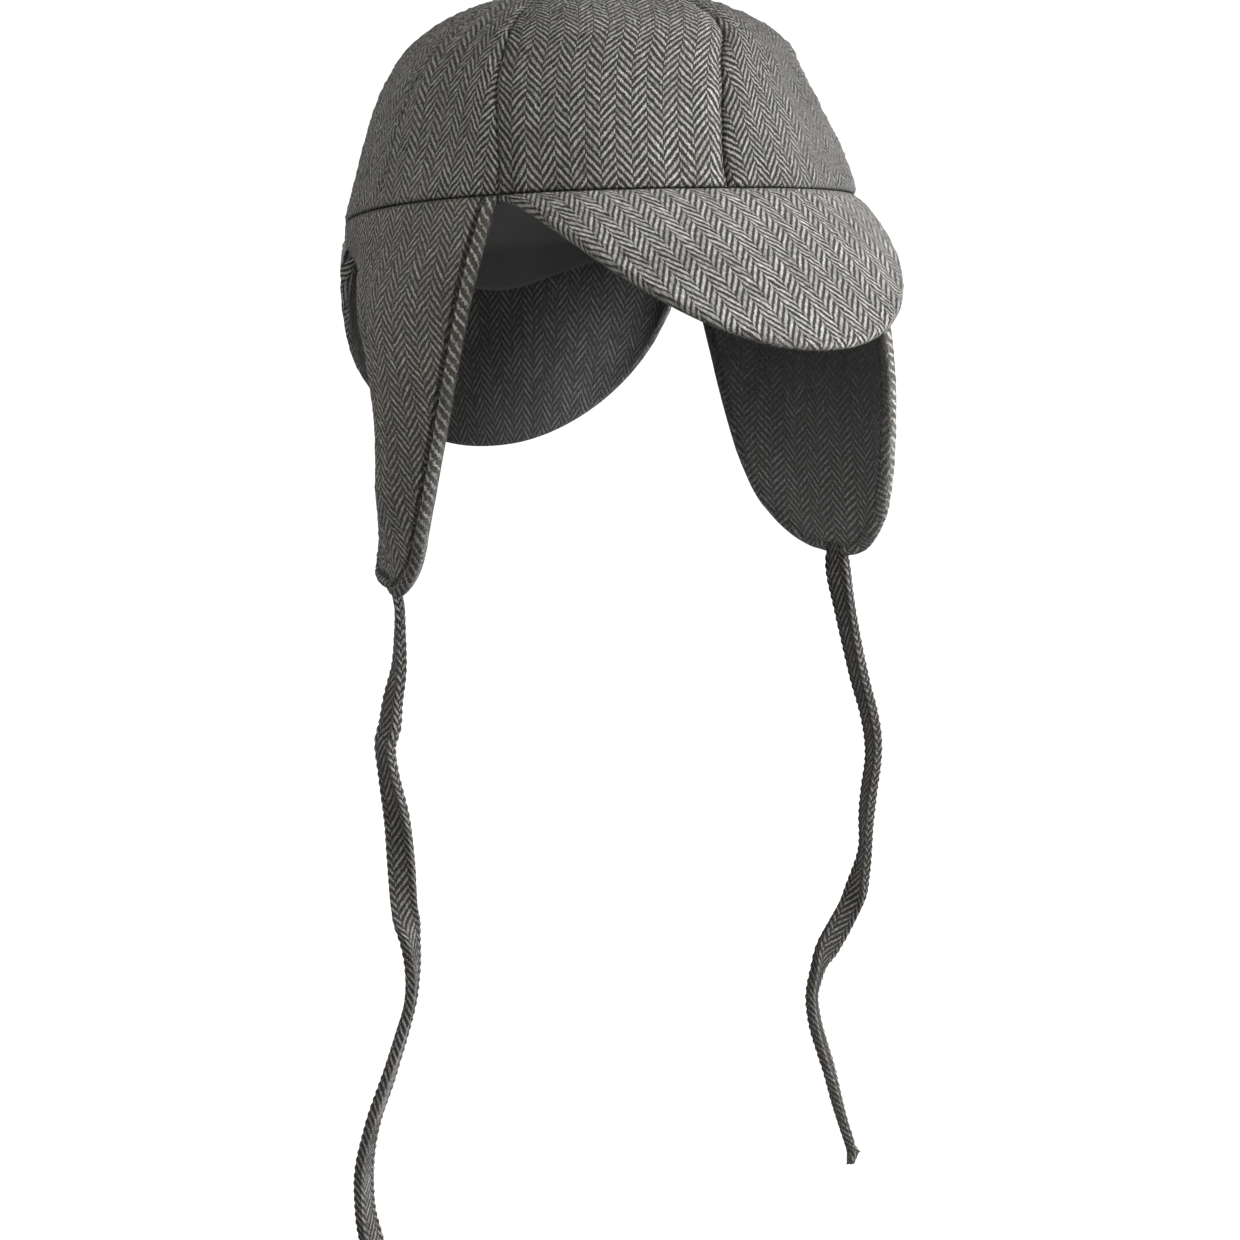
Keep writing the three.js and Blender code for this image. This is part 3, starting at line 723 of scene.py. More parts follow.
def tweed(name, stitch_line=0.0):
    """Herringbone tweed on the piece's flat pattern; outside a stitched line it runs along the edge."""
    look = TWEEDS[name]
    if name in bpy.data.materials:
        return bpy.data.materials[name]
    cloth = bpy.context.scene.hat_cloth
    column = cloth.column_width * look["column"]
    material, g = new_material(name)
    uv = g.node("ShaderNodeUVMap", uv_map=UV_NAME).outputs[0]
    seam = g.attribute("seam")
    edge = g.attribute("edge")
    inside = g.attribute("inside")
    place, share, depth = uv, look["share"], 1.0
    if stitch_line:
        hem = g.attribute("hem")
        run = g.attribute("run")
        across = g.math("MULTIPLY_ADD", hem, -LIP_SQUEEZE, LIP_COLUMN * column)
        strip = g.node("ShaderNodeCombineXYZ", {0: across, 1: g.times(run, LIP_STRETCH)})
        on_lip = g.times(g.math("LESS_THAN", edge, stitch_line), g.math("LESS_THAN", inside, 0.5))
        either = {0: on_lip, 4: uv, 5: strip.outputs[0]}
        place = g.node("ShaderNodeMix", either, data_type="VECTOR").outputs[1]
        share = g.math("MULTIPLY_ADD", on_lip, -LIP_SHARE, look["share"])
        height = g.node("ShaderNodeSeparateXYZ", {0: uv}).outputs[1]
        # Painted shade inside a flap: its pale yarn darker near the seam and lighter towards the foot.
        below = g.minus(height, FLAP_INSIDE)
        depth = g.range(below, INSIDE_TOP[0], INSIDE_FOOT[0], INSIDE_TOP[1], INSIDE_FOOT[1])
    weaving = {
        "Cloth": place,
        "Column": column,
        "Pitch": cloth.stroke_pitch * look["pitch"],
        "Pale share": share,
        "Unevenness": look["uneven"],
    }
    weave = g.node("ShaderNodeGroup", weaving, node_tree=herringbone_group())
    wear_and_shade_inputs = {"Cloth": uv, "Seam": seam, "Edge": edge}
    wear_and_seam_shade = g.node("ShaderNodeGroup", wear_and_shade_inputs, node_tree=wear_and_seam_shade_group())
    pale, slub = weave.outputs["Pale"], weave.outputs["Slub"]
    light, dark = [look["pale"] * c for c in cloth.light_yarn], [look["lift"] * c for c in cloth.dark_yarn]
    warm_dark = (dark[0] * 1.10, dark[1] * 1.0, dark[2] * 0.90, 1.0)
    cool_dark = (dark[0] * 0.92, dark[1] * 1.0, dark[2] * 1.04, 1.0)
    ground = g.mix(wear_and_seam_shade.outputs["Warmth"], cool_dark, warm_dark)
    # Inside a piece the dark yarn is painted lighter: painted light for the dim inside of the hat.
    ground = g.mix(inside, ground, four([look["inside_dark"] * sum(cloth.dark_yarn) / 3] * 3))
    specks = g.range(g.noise(uv, "specks"), 0.35, 0.72, 0.65, 2.1, "LINEAR")
    ground = g.tinted(ground, specks)
    fullness = g.range(slub, 0.3, 0.72, kind="LINEAR")
    pale_yarn = g.mix(fullness, four([0.42 * c for c in light]), four([1.50 * c for c in light]))
    # Inside a piece the pale yarn is painted darker: painted shade for the dim inside of the hat.
    dim = g.times(depth, look["inside_pale"])
    dim = g.node("ShaderNodeCombineColor", {0: dim, 1: dim, 2: dim}).outputs[0]
    inside_painted_light_and_shade = g.mix(inside, (1.0, 1.0, 1.0, 1.0), dim)
    pale_yarn = g.mix(1.0, pale_yarn, inside_painted_light_and_shade, "MULTIPLY")
    colour = g.mix(pale, ground, pale_yarn)
    nap = g.attribute("nap")
    nap = g.times(nap, g.range(g.noise(uv, "nap_fine"), 0.3, 0.7, 0.5, 1.4, "LINEAR"))
    patches = g.range(g.noise(uv, "nap_patches"), 0.35, 0.65, 0.3, 1.7, "LINEAR")
    nap = g.times(nap, patches, clamp=True)
    mottle = g.range(g.noise(uv, "mottle"), 0.35, 0.65, 0.42, 1.62, "LINEAR")
    brushed = [NAP_PALE * pale_part + (1 - NAP_PALE) * dark_part for pale_part, dark_part in zip(light, dark)]
    colour = g.mix(nap, colour, g.tinted(four(brushed), mottle))
    colour = g.mix(g.times(wear_and_seam_shade.outputs["Worn"], 0.35), colour, four([0.8 * c for c in light]))
    # Tone, with painted shade beside the seams and across the crown's gores.
    sunk = g.times(wear_and_seam_shade.outputs["Tone"], g.attribute("tone_and_painted_shade"))
    if stitch_line:
        # Painted light on a flap's lip: brighter high up on the flap, painted shade lower down.
        shaded_height, lit_height = FLAP_OUTSIDE + LIP_SHADED_BELOW, FLAP_OUTSIDE + LIP_LIT_ABOVE
        lip_painted_light = g.range(height, shaded_height, lit_height, LIP_PAINTED_SHADE, LIP_PAINTED_LIGHT)
        lip_painted_light = g.plus(g.times(g.minus(lip_painted_light, 1.0), on_lip), 1.0)
        sunk = g.times(sunk, lip_painted_light)
        # The stitched line: darker stitches, and painted shade in the groove they pull in; on the inside most
        # of the darkening is taken off.
        off_line = g.math("ABSOLUTE", g.minus(edge, stitch_line + 0.0005))
        stitch = g.math("ABSOLUTE", g.math("SINE", g.times(run, math.pi / STITCH_LENGTH)))
        line = g.range(off_line, 0.0006, 0.0015, 0.0, 1.0)
        line = g.math("MAXIMUM", line, g.math("MULTIPLY_ADD", stitch, -0.18, 0.44))
        gap = g.times(g.minus(1.0, line), g.times(inside, 0.7))
        line = g.plus(line, gap)
        sunk = g.times(sunk, line)
    colour = g.tinted(colour, sunk)
    raised = {"Strength": 0.9, "Distance": WEAVE_HEIGHT, "Height": weave.outputs["Height"]}
    relief = g.node("ShaderNodeBump", raised)
    rough = g.range(slub, 0.3, 0.8, 0.88, 1.0, "LINEAR")
    shader = g.node(
        "ShaderNodeBsdfPrincipled",
        {
            "Base Color": colour,
            "Roughness": rough,
            "Normal": relief.outputs[0],
            "Specular IOR Level": 0.18,
            "Sheen Weight": 0.12,
            "Sheen Roughness": 0.55,
        },
    )
    g.node("ShaderNodeOutputMaterial", {"Surface": shader.outputs[0]})
    return material


def lining_cloth():
    """Plain dark cloth with fine slanted ribs, painted darker at its lower edge and beside seams."""
    name = "black_lining"
    if name in bpy.data.materials:
        return bpy.data.materials[name]
    cloth = bpy.context.scene.hat_cloth
    material, g = new_material(name)
    uv = g.node("ShaderNodeUVMap", uv_map=UV_NAME).outputs[0]
    parts = g.node("ShaderNodeSeparateXYZ", {0: uv})
    ribs_across, ribs_down = (g.times(parts.outputs[k], LINING_RIBS[k]) for k in (0, 1))
    rib = g.math("SINE", g.plus(ribs_across, ribs_down))
    slow = g.noise(uv, "lining_tone")
    seam = g.attribute("seam")
    tone_and_painted_shade = g.range(slow, 0.3, 0.7, 0.93, 1.07, "LINEAR")
    # Painted shade: darker beside seams and towards the lining's lower edge.
    tone_and_painted_shade = g.times(tone_and_painted_shade, g.range(seam, 0.0, 0.0015, 0.5, 1.0))
    tone_and_painted_shade = g.times(tone_and_painted_shade, g.range(parts.outputs[1], 0.0, 0.045, 0.72, 1.15))
    tone_and_painted_shade = g.times(tone_and_painted_shade, g.range(rib, -1.0, 1.0, 0.85, 1.1, "LINEAR"))
    colour = g.tinted(four(cloth.lining_colour), tone_and_painted_shade)
    height = g.plus(g.times(rib, 0.5), g.noise(uv, "lining_grain"))
    relief = g.node("ShaderNodeBump", {"Strength": 0.5, "Distance": 0.00012, "Height": height})
    shader = g.node(
        "ShaderNodeBsdfPrincipled",
        {
            "Base Color": colour,
            "Roughness": g.range(slow, 0.3, 0.7, 0.62, 0.78, "LINEAR"),
            "Normal": relief.outputs[0],
            "Specular IOR Level": 0.25,
        },
    )
    g.node("ShaderNodeOutputMaterial", {"Surface": shader.outputs[0]})
    return material


# How far each gore's herringbone is shifted across, so that its columns fall as they do on the hat.
GORE_SHIFT = [0.0, 0.0, 0.0, 0.0, -0.001, 0.0034, 0.0024, 0.0]
# Painted shade on each gore: brightness of its cloth from its first seam to its second, and how much darker
# the crown is painted towards its top.
GORE_PAINTED_SHADE = [(1, 1), (1, 1), (1, 1), (1, 1), (1.0, 1.06), (0.80, 1.06), (0.85, 0.68), (0.8, 0.9)]
TOP_PAINTED_SHADE = 0.34
# How far the raised nap hides the pattern on each gore, and at the wearer's left end of the front peak.
GORE_NAP = [0.25, 0.2, 0.2, 0.28, 0.24, 0.03, 0.66, 0.5]
# Where across each gore the nap starts and is full.
GORE_NAP_SPAN = [(-1, 0), (-1, 0), (-1, 0), (-1, 0), (1.1, 0.2), (-1, 0), (0.15, 0.75), (-1, 0)]
PEAK_NAP = 0.66
# How strongly each seam of the crown draws in, and how wide the painted shade beside it is: centre front
# most.
SEAM_DEPTH = [1.0, 0.8, 1.0, 0.8, 0.35, 0.65, 1.6, 0.8]
# Spacing of a gore's points: distances from a seam, between columns, and the number of rows.
NEAR_SEAM = [0, 0.0002, 0.0005, 0.0009, 0.0014, 0.0020, 0.0028, 0.0040, 0.0056]
COLUMN_SPACING = 0.0015
ROW_STEPS = 108
GORE_WIDTH = 0.078


def crown_rows():
    """Rows of the profile, close together at the hem, with the last at the tip."""
    hem = np.array([0, 0.04, 0.1, 0.18, 0.28, 0.40, 0.56, 0.8, 1.1])
    fine = np.linspace(0, PROFILE_END, 400)
    heights = smooth_row(PROFILE_HEIGHT, fine)
    shares = smooth_row(PROFILE_SHARE, fine) * 0.5 * (HALF_WIDTH + HALF_LENGTH)
    arc = np.concatenate([[0], np.cumsum(np.hypot(np.diff(heights), np.diff(shares)))])
    start = np.interp(hem[-1], fine, arc)
    even = np.interp(np.linspace(start, arc[-1], ROW_STEPS), arc, fine)
    return np.concatenate([hem, even[1:]])


def gore_nap(index, u):
    """How far the nap hides the pattern across a gore."""
    start, full = GORE_NAP_SPAN[index]
    return GORE_NAP[index] * ease(start, full, u)


def crown_gore(index):
    """One gore of the crown between two neighbouring seams."""
    cloth = bpy.context.scene.hat_cloth
    across = edge_places(GORE_WIDTH, NEAR_SEAM, COLUMN_SPACING) / GORE_WIDTH
    u, row = np.meshgrid(across, crown_rows(), indexing="ij")
    place = index + u
    base = crown_point(place, row)
    tip = np.array([0.0, 0.0, PROFILE_HEIGHT[-1]])
    base[:, -1] = tip + (base[:, -1] - tip) * 0.02
    normal = normal_at(crown_point, place, np.clip(row, 0.01, PROFILE_END - 0.2), 1e-4, 1e-3)
    inward = unit(np.stack([normal[:, :, 0], normal[:, :, 1], 0 * row], axis=-1))
    level = ease(0.0, 0.5, row)[..., None]
    normal = unit(inward * (1 - level) + normal * level)
    widths = flat_widths(base)
    lengths = flat_lengths(base)
    full = widths[-1]
    side = np.minimum(widths, full - widths)
    hem = lengths
    centre = np.interp(0.5, across, np.arange(len(across)))
    low, part = int(centre), centre - int(centre)
    middle = widths[low] * (1 - part) + widths[low + 1] * part
    middle_length = lengths[low] * (1 - part) + lengths[low + 1] * part
    flat_u = widths - middle
    taper = -np.gradient(full, middle_length) / np.maximum(full, 0.004)
    flat_v = middle_length + 0.5 * flat_u**2 * np.clip(taper, -5, 40)
    narrow = np.clip(full / 0.014, 0, 1)
    which = np.where(u < 0.5, index, index + 1) % 8
    depth = np.array(SEAM_DEPTH)[which]
    dip = seam_roll(side, cloth.seam_dip * depth, cloth.seam_roll * depth) * narrow
    dip = np.maximum(dip, seam_roll(hem, cloth.seam_dip * 1.15, cloth.seam_roll * 1.1))
    along = middle_length
    wave = np.sin(along / 0.0015 + 2.1 * which + 1.3 * np.sin(along / 0.0067 + which))
    pucker = cloth.pucker * wave * np.exp(-((side - 0.003) / 0.0035) ** 2) * narrow
    hem_wave = np.sin(flat_u / 0.0017 + index + 1.2 * np.sin(flat_u / 0.0071))
    pucker = pucker + cloth.pucker * 0.8 * hem_wave * np.exp(-((hem - 0.003) / 0.0035) ** 2)
    seam_distance = np.minimum(side, hem)
    soft = 0.00035 * ramble(20 + index, flat_u / 0.011, flat_v / 0.016) * np.clip(side / 0.012, 0, 1)
    puff = 0.0006 * depth * np.exp(-((side - 0.0065) / 0.005) ** 2) * narrow
    nap = fuzz(40 + index, row.shape) * np.clip(seam_distance / 0.002, 0, 1)
    lift = pucker + soft + puff + nap - dip
    outer = base + normal * lift[..., None]
    inner = base - normal * CROWN_WALL
    shift = GORE_SHIFT[index] + GORE_STEP * index
    outer_uv = np.stack([flat_u + shift, flat_v], axis=-1)
    inner_uv = np.stack([-flat_u + shift, flat_v + GORE_INSIDE], axis=-1)
    # Distance that sets the painted shade beside the seams and along the hem.
    seam = np.minimum(side / depth, hem * 1.4)
    edge = np.full_like(seam, FAR)
    # Painted shade across each gore, darker towards the crown's top.
    first, second = GORE_PAINTED_SHADE[index]
    piece = cloth_piece(
        f"crown_gore_{index + 1}", (outer, inner), (outer_uv, inner_uv), seam, edge,
        ("foot", "head", "start", "finish"),
        tone_and_painted_shade=(first * (1 - u) + second * u) * (1 - TOP_PAINTED_SHADE * ease(3, 11, row)),
        nap=gore_nap(index, u),
    )
    size, area = flat_size(np.stack([flat_u, flat_v], axis=-1), base)
    return piece, size, area


class HAT_OT_crown(bpy.types.Operator):
    """Sews the eight gores of the crown"""

    bl_idname = "hat.crown"
    bl_label = "Crown"

    def execute(self, context):
        for index in range(8):
            piece, size, area = crown_gore(index)
            dress(piece, tweed("tweed_crown"), f"crown_panel_{index + 1}")
        return {"FINISHED"}


# Depth of the lining's face inside the crown's outer face, and its thickness.
LINING_FACE = 0.0023
LINING_WALL = 0.0008


def lining_drop(angle):
    """How far the lining hangs below the rim."""
    back = np.arctan2(-np.cos(angle), np.sin(angle)) / 0.35
    return np.maximum(0.003, 0.007 * ease(0.62, 0.8, np.sin(angle)) + 0.011 * np.exp(-(back**2)))


class HAT_OT_lining(bpy.types.Operator):
    """Hangs the black lining inside the crown"""

    bl_idname = "hat.lining"
    bl_label = "Lining"

    def execute(self, context):
        places = np.linspace(0, 8, 8 * 20 + 1)
        below = np.linspace(0, 1, 12)
        above = np.linspace(0.2, 15.4, 60)
        drop = lining_drop(seam_angle(places, np.zeros_like(places))) / 0.005
        hanging = below[None, :] * (drop[:, None] + 0.2) - drop[:, None]
        row = np.concatenate([hanging, np.broadcast_to(above[1:], (len(places), len(above) - 1))], axis=1)
        place = np.broadcast_to(places[:, None], row.shape)
        base = crown_point(place, row)
        normal = normal_at(crown_point, place, np.maximum(row, 0.01), 1e-4, 1e-3)
        level = ease(0.0, 1.0, row)[..., None]
        flat = unit(normal * np.array([1, 1, 0]))
        normal = unit(flat * (1 - level) + normal * level)
        widths, lengths = flat_widths(base), flat_lengths(base)
        far = np.full_like(row, FAR)
        turn = place * math.pi / 4
        ripple = 0.0003 * ramble(5, np.cos(turn) * 6, np.sin(turn) * 6, row * 0.6)
        face = base - normal * (LINING_FACE + 0.0004 + np.abs(ripple))[..., None]
        back = face - normal * LINING_WALL
        uv = np.stack([widths, lengths], axis=-1)
        piece = cloth_piece("lining_skin", (face, back), (uv, uv), far, far, ("foot", "head"))
        close_top(piece)
        dress(piece, lining_cloth(), "crown_lining")
        return {"FINISHED"}


def close_top(piece):
    """Takes off the rim at the top of the lining and closes each of its two skins over the hole."""
    work = bmesh.new()
    work.from_mesh(piece.data)
    top = max(v.co.z for v in work.verts)
    rim = [f for f in work.faces if all(v.co.z > top - 0.0015 for v in f.verts) and abs(f.normal.z) < 0.6]
    bmesh.ops.delete(work, geom=rim, context="FACES_ONLY")
    open_edges = [e for e in work.edges if e.is_boundary]
    bmesh.ops.holes_fill(work, edges=open_edges, sides=0)
    bmesh.ops.triangulate(work, faces=[f for f in work.faces if len(f.verts) > 4])
    bmesh.ops.recalc_face_normals(work, faces=work.faces)
    work.to_mesh(piece.data)
    work.free()


def peak_point(peak, s, w):
    """Middle of a peak's cloth: s from -1 to 1 across, w from 0 at the seam to 1 at the edge."""
    half = math.pi / 2 - DIAGONAL - (0.5 * GAP + 0.0001) / HALF_LENGTH
    angle = peak["side"] * math.pi / 2 + s * half
    root_x = (HALF_WIDTH - 0.001) * np.cos(angle)
    root_y = (HALF_LENGTH - 0.001) * np.sin(angle)
    root_z = rim_height(root_y) - GAP - 0.0001
    out = unit(np.stack([np.cos(angle) / HALF_WIDTH, np.sin(angle) / HALF_LENGTH], axis=-1))
    out = unit(out + np.array([0, peak["side"] * peak["pull"]]))
    reach = peak["length"] * np.maximum(0, 1 - np.abs(s) ** peak["power"]) ** peak["fall"]
    length = np.hypot(reach, PEAK_END_LENGTH)
    slope = np.radians(peak["slope"] + peak["turn"] * s * s)
    run = length * w
    lead = 0.0014 * (1 - np.exp(-run / 0.0016)) * np.cos(slope)
    level = np.maximum(0, run - lead) * np.cos(slope)
    down = run * np.sin(slope) + lead * (1 - np.sin(slope))
    lift = peak["camber"] * 4 * w * (1 - w) * (reach / peak["length"])
    flare = peak["flare"] * s * s * 4 * w * (1 - w)
    wing = peak["wing"] * ease(0.45, 0.85, s) * ease(0.0, 0.3, w)
    far = level + lift * np.sin(slope) + flare + wing
    x, y = root_x + out[..., 0] * far, root_y + out[..., 1] * far
    return np.stack([x, y, root_z - down + lift * np.cos(slope)], axis=-1)


def flattened(points):
    """Flat pattern of a grid sewn at its first row: that row laid out by its own bend, the columns off it."""
    root = points[:, 0]
    tangent = unit(np.gradient(root, axis=0))
    hang = unit(points[:, 1] - points[:, 0])
    across = unit(hang - (hang * tangent).sum(-1, keepdims=True) * tangent)
    turn = ((tangent[1:] - tangent[:-1]) * 0.5 * (across[1:] + across[:-1])).sum(-1)
    heading = np.concatenate([[0], np.cumsum(turn)])
    middle = len(root) // 2
    steps = np.linalg.norm(np.diff(root, axis=0), axis=-1)
    bearing = 0.5 * (heading[1:] + heading[:-1])
    strides = np.stack([steps * np.cos(bearing), steps * np.sin(bearing)], axis=1)
    line = np.concatenate([[[0, 0]], np.cumsum(strides, axis=0)])
    slant = np.arctan2((hang * across).sum(-1), (hang * tangent).sum(-1)) + heading
    lengths = flat_lengths(points)
    flat = line[:, None] + lengths[..., None] * np.stack([np.cos(slant), np.sin(slant)], axis=-1)[:, None]
    swing = math.pi / 2 - slant[middle]
    flat = flat - flat[middle, 0]
    cos, sin = math.cos(swing), math.sin(swing)
    x, y = flat[..., 0], flat[..., 1]
    return np.stack([x * cos - y * sin, -(x * sin + y * cos)], axis=-1)


def turned(flat, degrees, shift=(0, 0), fan=0.0):
    """A flat pattern turned on the cloth, and moved; fan is how much more it turns for each metre across."""
    a = np.radians(degrees + fan * flat[..., 0])
    u = flat[..., 0] * np.cos(a) - flat[..., 1] * np.sin(a) + shift[0]
    v = flat[..., 0] * np.sin(a) + flat[..., 1] * np.cos(a) + shift[1]
    return np.stack([u, v], axis=-1)


def free_edge(points):
    """Distance of each grid point from the free edge, and the place along that edge that is nearest to it."""
    border = np.concatenate([points[0, :-1], points[:, -1], points[-1, :-1][::-1]])
    run = np.concatenate([[0], np.cumsum(np.linalg.norm(np.diff(border, axis=0), axis=-1))])
    fine_run = np.linspace(0, run[-1], 1200)
    fine = np.stack([np.interp(fine_run, run, border[:, k]) for k in range(3)], axis=-1)
    flat = points.reshape(-1, 3)
    best = np.full(len(flat), 1.0)
    along = np.zeros(len(flat))
    for start in range(0, len(fine), 200):
        gaps = np.linalg.norm(flat[:, None] - fine[None, start : start + 200], axis=-1)
        nearest = gaps.argmin(1)
        closer = gaps.min(1) < best
        best = np.where(closer, gaps.min(1), best)
        along = np.where(closer, fine_run[start + nearest], along)
    best = best.reshape(points.shape[:2])
    along = along.reshape(points.shape[:2])
    best[:, -1], best[0], best[-1] = 0, 0, 0
    return best, along


# Distances of the points nearest to a free edge.
NEAR_EDGE = [
    0, 0.00012, 0.0004, 0.0008, 0.0013, 0.0019, 0.0026, 0.0032,
    0.0037, 0.0041, 0.0045, 0.0050, 0.0057, 0.0068, 0.0082,
]
# Thickness of hanging cloth where it is sewn on.
SEWN_THICKNESS = 0.0020


def lip_pattern(flat, edge, roll):
    """The flat pattern, carried round a rounded lip so that the cloth isn't stretched there."""
    along, down = np.gradient(flat, axis=0), np.gradient(flat, axis=1)
    rise_along, rise_down = np.gradient(edge, axis=0), np.gradient(edge, axis=1)
    area = along[..., 0] * down[..., 1] - along[..., 1] * down[..., 0]
    area = np.where(np.abs(area) < 1e-12, 1e-12, area)
    climb_x = (rise_along * down[..., 1] - rise_down * along[..., 1]) / area
    climb_y = (rise_down * along[..., 0] - rise_along * down[..., 0]) / area
    outward = -unit(np.stack([climb_x, climb_y], axis=-1))
    near = np.clip(edge / roll, 0, 1)
    extra = roll * (near - np.arccos(1 - near) + math.pi / 2 - 1)
    return flat + outward * extra[..., None], edge - extra


def hanging_cloth(name, point, across, down, half_thickness, pattern, roll):
    """A closed piece of cloth hung from its first row, rounded at its free edges."""
    u, w = np.meshgrid(across, down, indexing="ij")
    middle = point(u, w)
    normal = -normal_at(point, np.clip(u, 2e-3, 1 - 2e-3), np.clip(w, 2e-3, 1 - 2e-3), 1e-3, 1e-3)
    edge, along = free_edge(middle)
    below = flat_lengths(middle)
    thick = half_thickness(edge)
    sewn = ease(0.0, 0.010, below)
    thick = np.minimum(thick, thick * sewn + 0.5 * SEWN_THICKNESS * (1 - sewn))
    round_off = np.sqrt(np.clip(1 - (1 - np.clip(edge / roll, 0, 1)) ** 2, 0, 1))
    thick = thick * round_off
    crease = 0.00010 * ramble(len(name), u * 41, w * 37)
    puff = 0.0006 * np.exp(-((below - 0.006) / 0.004) ** 2) * np.clip(edge / 0.01, 0, 1)
    groove = seam_roll(below, 0.0007, 0.0022)
    nap = fuzz(60 + len(name), edge.shape) * np.clip(edge / 0.0004, 0, 1) * np.clip(below / 0.002, 0, 1)
    outer = middle + normal * (thick + puff * 0.5 - groove + crease * round_off + nap)[..., None]
    inner = middle - normal * (thick + puff * 0.3 - crease * round_off)[..., None]
    flat, hem = lip_pattern(pattern(middle), edge, roll)
    return (outer, inner), flat, np.stack([hem, along], axis=-1), edge, below, middle


def hanging_rows(near, middle, reach):
    """Rows down a hanging piece: those at its seam, the middle ones, and those close to its lower edge."""
    return np.concatenate([near, middle, 1 - np.array(NEAR_EDGE[:-2][::-1]) / reach])


class HAT_OT_peaks(bpy.types.Operator):
    """Makes the front peak and the back peak"""

    bl_idname = "hat.peaks"
    bl_label = "Peaks"

    def execute(self, context):
        make_peak("front_peak", FRONT_PEAK, 0.0016, PEAK_GRAIN["front_peak"])
        make_peak("back_peak", BACK_PEAK, 0.0015, PEAK_GRAIN["back_peak"])
        return {"FINISHED"}


# Turn of the cloth's grain on each peak's outside and inside, in degrees, and how that turn fans out.
PEAK_GRAIN = {
    "front_peak": dict(outside=-5.0, inside=0.0, fan=110.0),
    "back_peak": dict(outside=26.0, inside=-3.0, fan=0.0),
}
# Width and length of a peak and of a flap, for the spacing of their points, and rows close to the seam.
PEAK_WIDTH = 0.16
PEAK_REACH = 0.08
FLAP_WIDTH = 0.115
FLAP_REACH = 0.13
SEAM_ROWS = [0, 0.004, 0.01, 0.018, 0.028, 0.04, 0.055]


def make_peak(node, peak, half, grain):
    """One peak: its cloth, its material and its place."""

    def point(u, w):
        return peak_point(peak, 2 * u - 1, w)

    across = edge_places(PEAK_WIDTH, NEAR_EDGE, 0.0016) / PEAK_WIDTH
    down = hanging_rows(SEAM_ROWS, np.linspace(0.08, 0.88, 44), PEAK_REACH)

    def thickness(edge):
        return half + 0.00015 * np.exp(-((edge - 0.002) / 0.0016) ** 2)

    skins, flat, lip, edge, below, middle = hanging_cloth(
        node, point, across, down, thickness, flattened, 0.0018
    )
    patterns = (
        turned(flat, grain["outside"], (0.0, PEAK_OUTSIDE), grain["fan"]),
        turned(flat * np.array([-1 / 1.1, 1]), grain["inside"], PEAK_INSIDE),
    )
    nap = PEAK_NAP * ease(0.02, 0.075, skins[0][..., 0]) * (1 if peak["side"] < 0 else 0)
    piece = cloth_piece(f"{node}_cloth", skins, patterns, below, edge, ("foot",), lip, nap=nap)
    dress(piece, tweed("tweed_peaks"), node)


# Distance of a flap's stitched groove from its edge.
FLAP_STITCHING = 0.0041


def flap_bottom(flap, s):
    """Lower outline of the ear flap across its width."""
    start = np.where(s < 0, flap["front_start"], flap["rear_start"])
    rise = np.where(s < 0, flap["front_rise"], flap["rear_rise"])
    t = np.maximum(0, (np.abs(s) - start) / (1 - start))
    return FLAP_BOTTOM + rise * (1 - np.sqrt(np.maximum(0, 1 - t * t)))


def cup_shape(s):
    """The bend behind a flap's front edge, from 0 to 1."""
    near = (s - CUP["across"]) / np.where(s < CUP["across"], CUP["before"], CUP["behind"])
    whole = math.hypot(1, CUP["round"])
    return np.maximum(0, (whole - np.hypot(near, CUP["round"])) / (whole - CUP["round"]))


def flap_point(flap, s, w):
    """Middle of the ear flap's cloth: s from -1 at the front to 1 at the rear, w from seam to edge."""
    angle = s * (DIAGONAL - (0.5 * GAP + 0.0001) / HALF_WIDTH)
    root_x = (HALF_WIDTH - 0.001) * np.cos(angle)
    root_y = (HALF_LENGTH - 0.001) * np.sin(angle)
    root_z = rim_height(root_y) - GAP - 0.0001
    z = root_z + (flap_bottom(flap, s) - root_z) * w
    fall = np.maximum(0, (root_z - z) / (root_z - FLAP_BOTTOM)) * -FLAP_BOTTOM
    heights = -FLAP_EDGES[:, 0]
    at = np.interp(fall, heights, np.arange(len(heights)))
    front_x, front_y, rear_x, rear_y, bulge = (smooth_row(FLAP_EDGES[:, k], at) for k in range(1, 6))
    share = (s + 1) / 2
    line_x = front_x + (rear_x - front_x) * share
    rear_y = rear_y - flap["curl"] * ease(0.030, 0.080, fall)
    line_y = front_y + (rear_y - front_y) * share
    top_x = root_x - HALF_WIDTH * math.cos(DIAGONAL)
    top_y = root_y - (2 * share - 1) * HALF_LENGTH * math.sin(DIAGONAL)
    bow = bulge / FLAP_EDGES[0, 5]
    out = top_x * bow
    for place, wide, depth in FOLDS + flap["creases"]:
        out = out + depth * np.exp(-(((s - place) / wide) ** 2)) * ease(0.08, 0.4, w) * (1 - 0.4 * w)
    behind = ease(-0.15, 0.4, s) * (1 - ease(0.75, 1.0, s))
    out = out - flap["tuck"] * behind * ease(0.02, 0.16, w) * (1 - ease(0.5, 0.8, w))
    out = out + flap["cup"] * cup_shape(s) * ease(0.03, 0.3, w) * (1 - ease(0.7, 0.97, w))
    return np.stack([flap["side"] * (line_x + out), line_y + top_y * bow, z], axis=-1)


def flap_pattern(middle):
    """Flat pattern of an ear flap: level distance from its middle line, and height."""
    steps = np.linalg.norm(np.diff(middle[..., :2], axis=0), axis=-1)
    widths = np.concatenate([np.zeros((1, middle.shape[1])), np.cumsum(steps, axis=0)])
    centre = widths[widths.shape[0] // 2]
    return np.stack([widths - centre, middle[..., 2]], axis=-1)


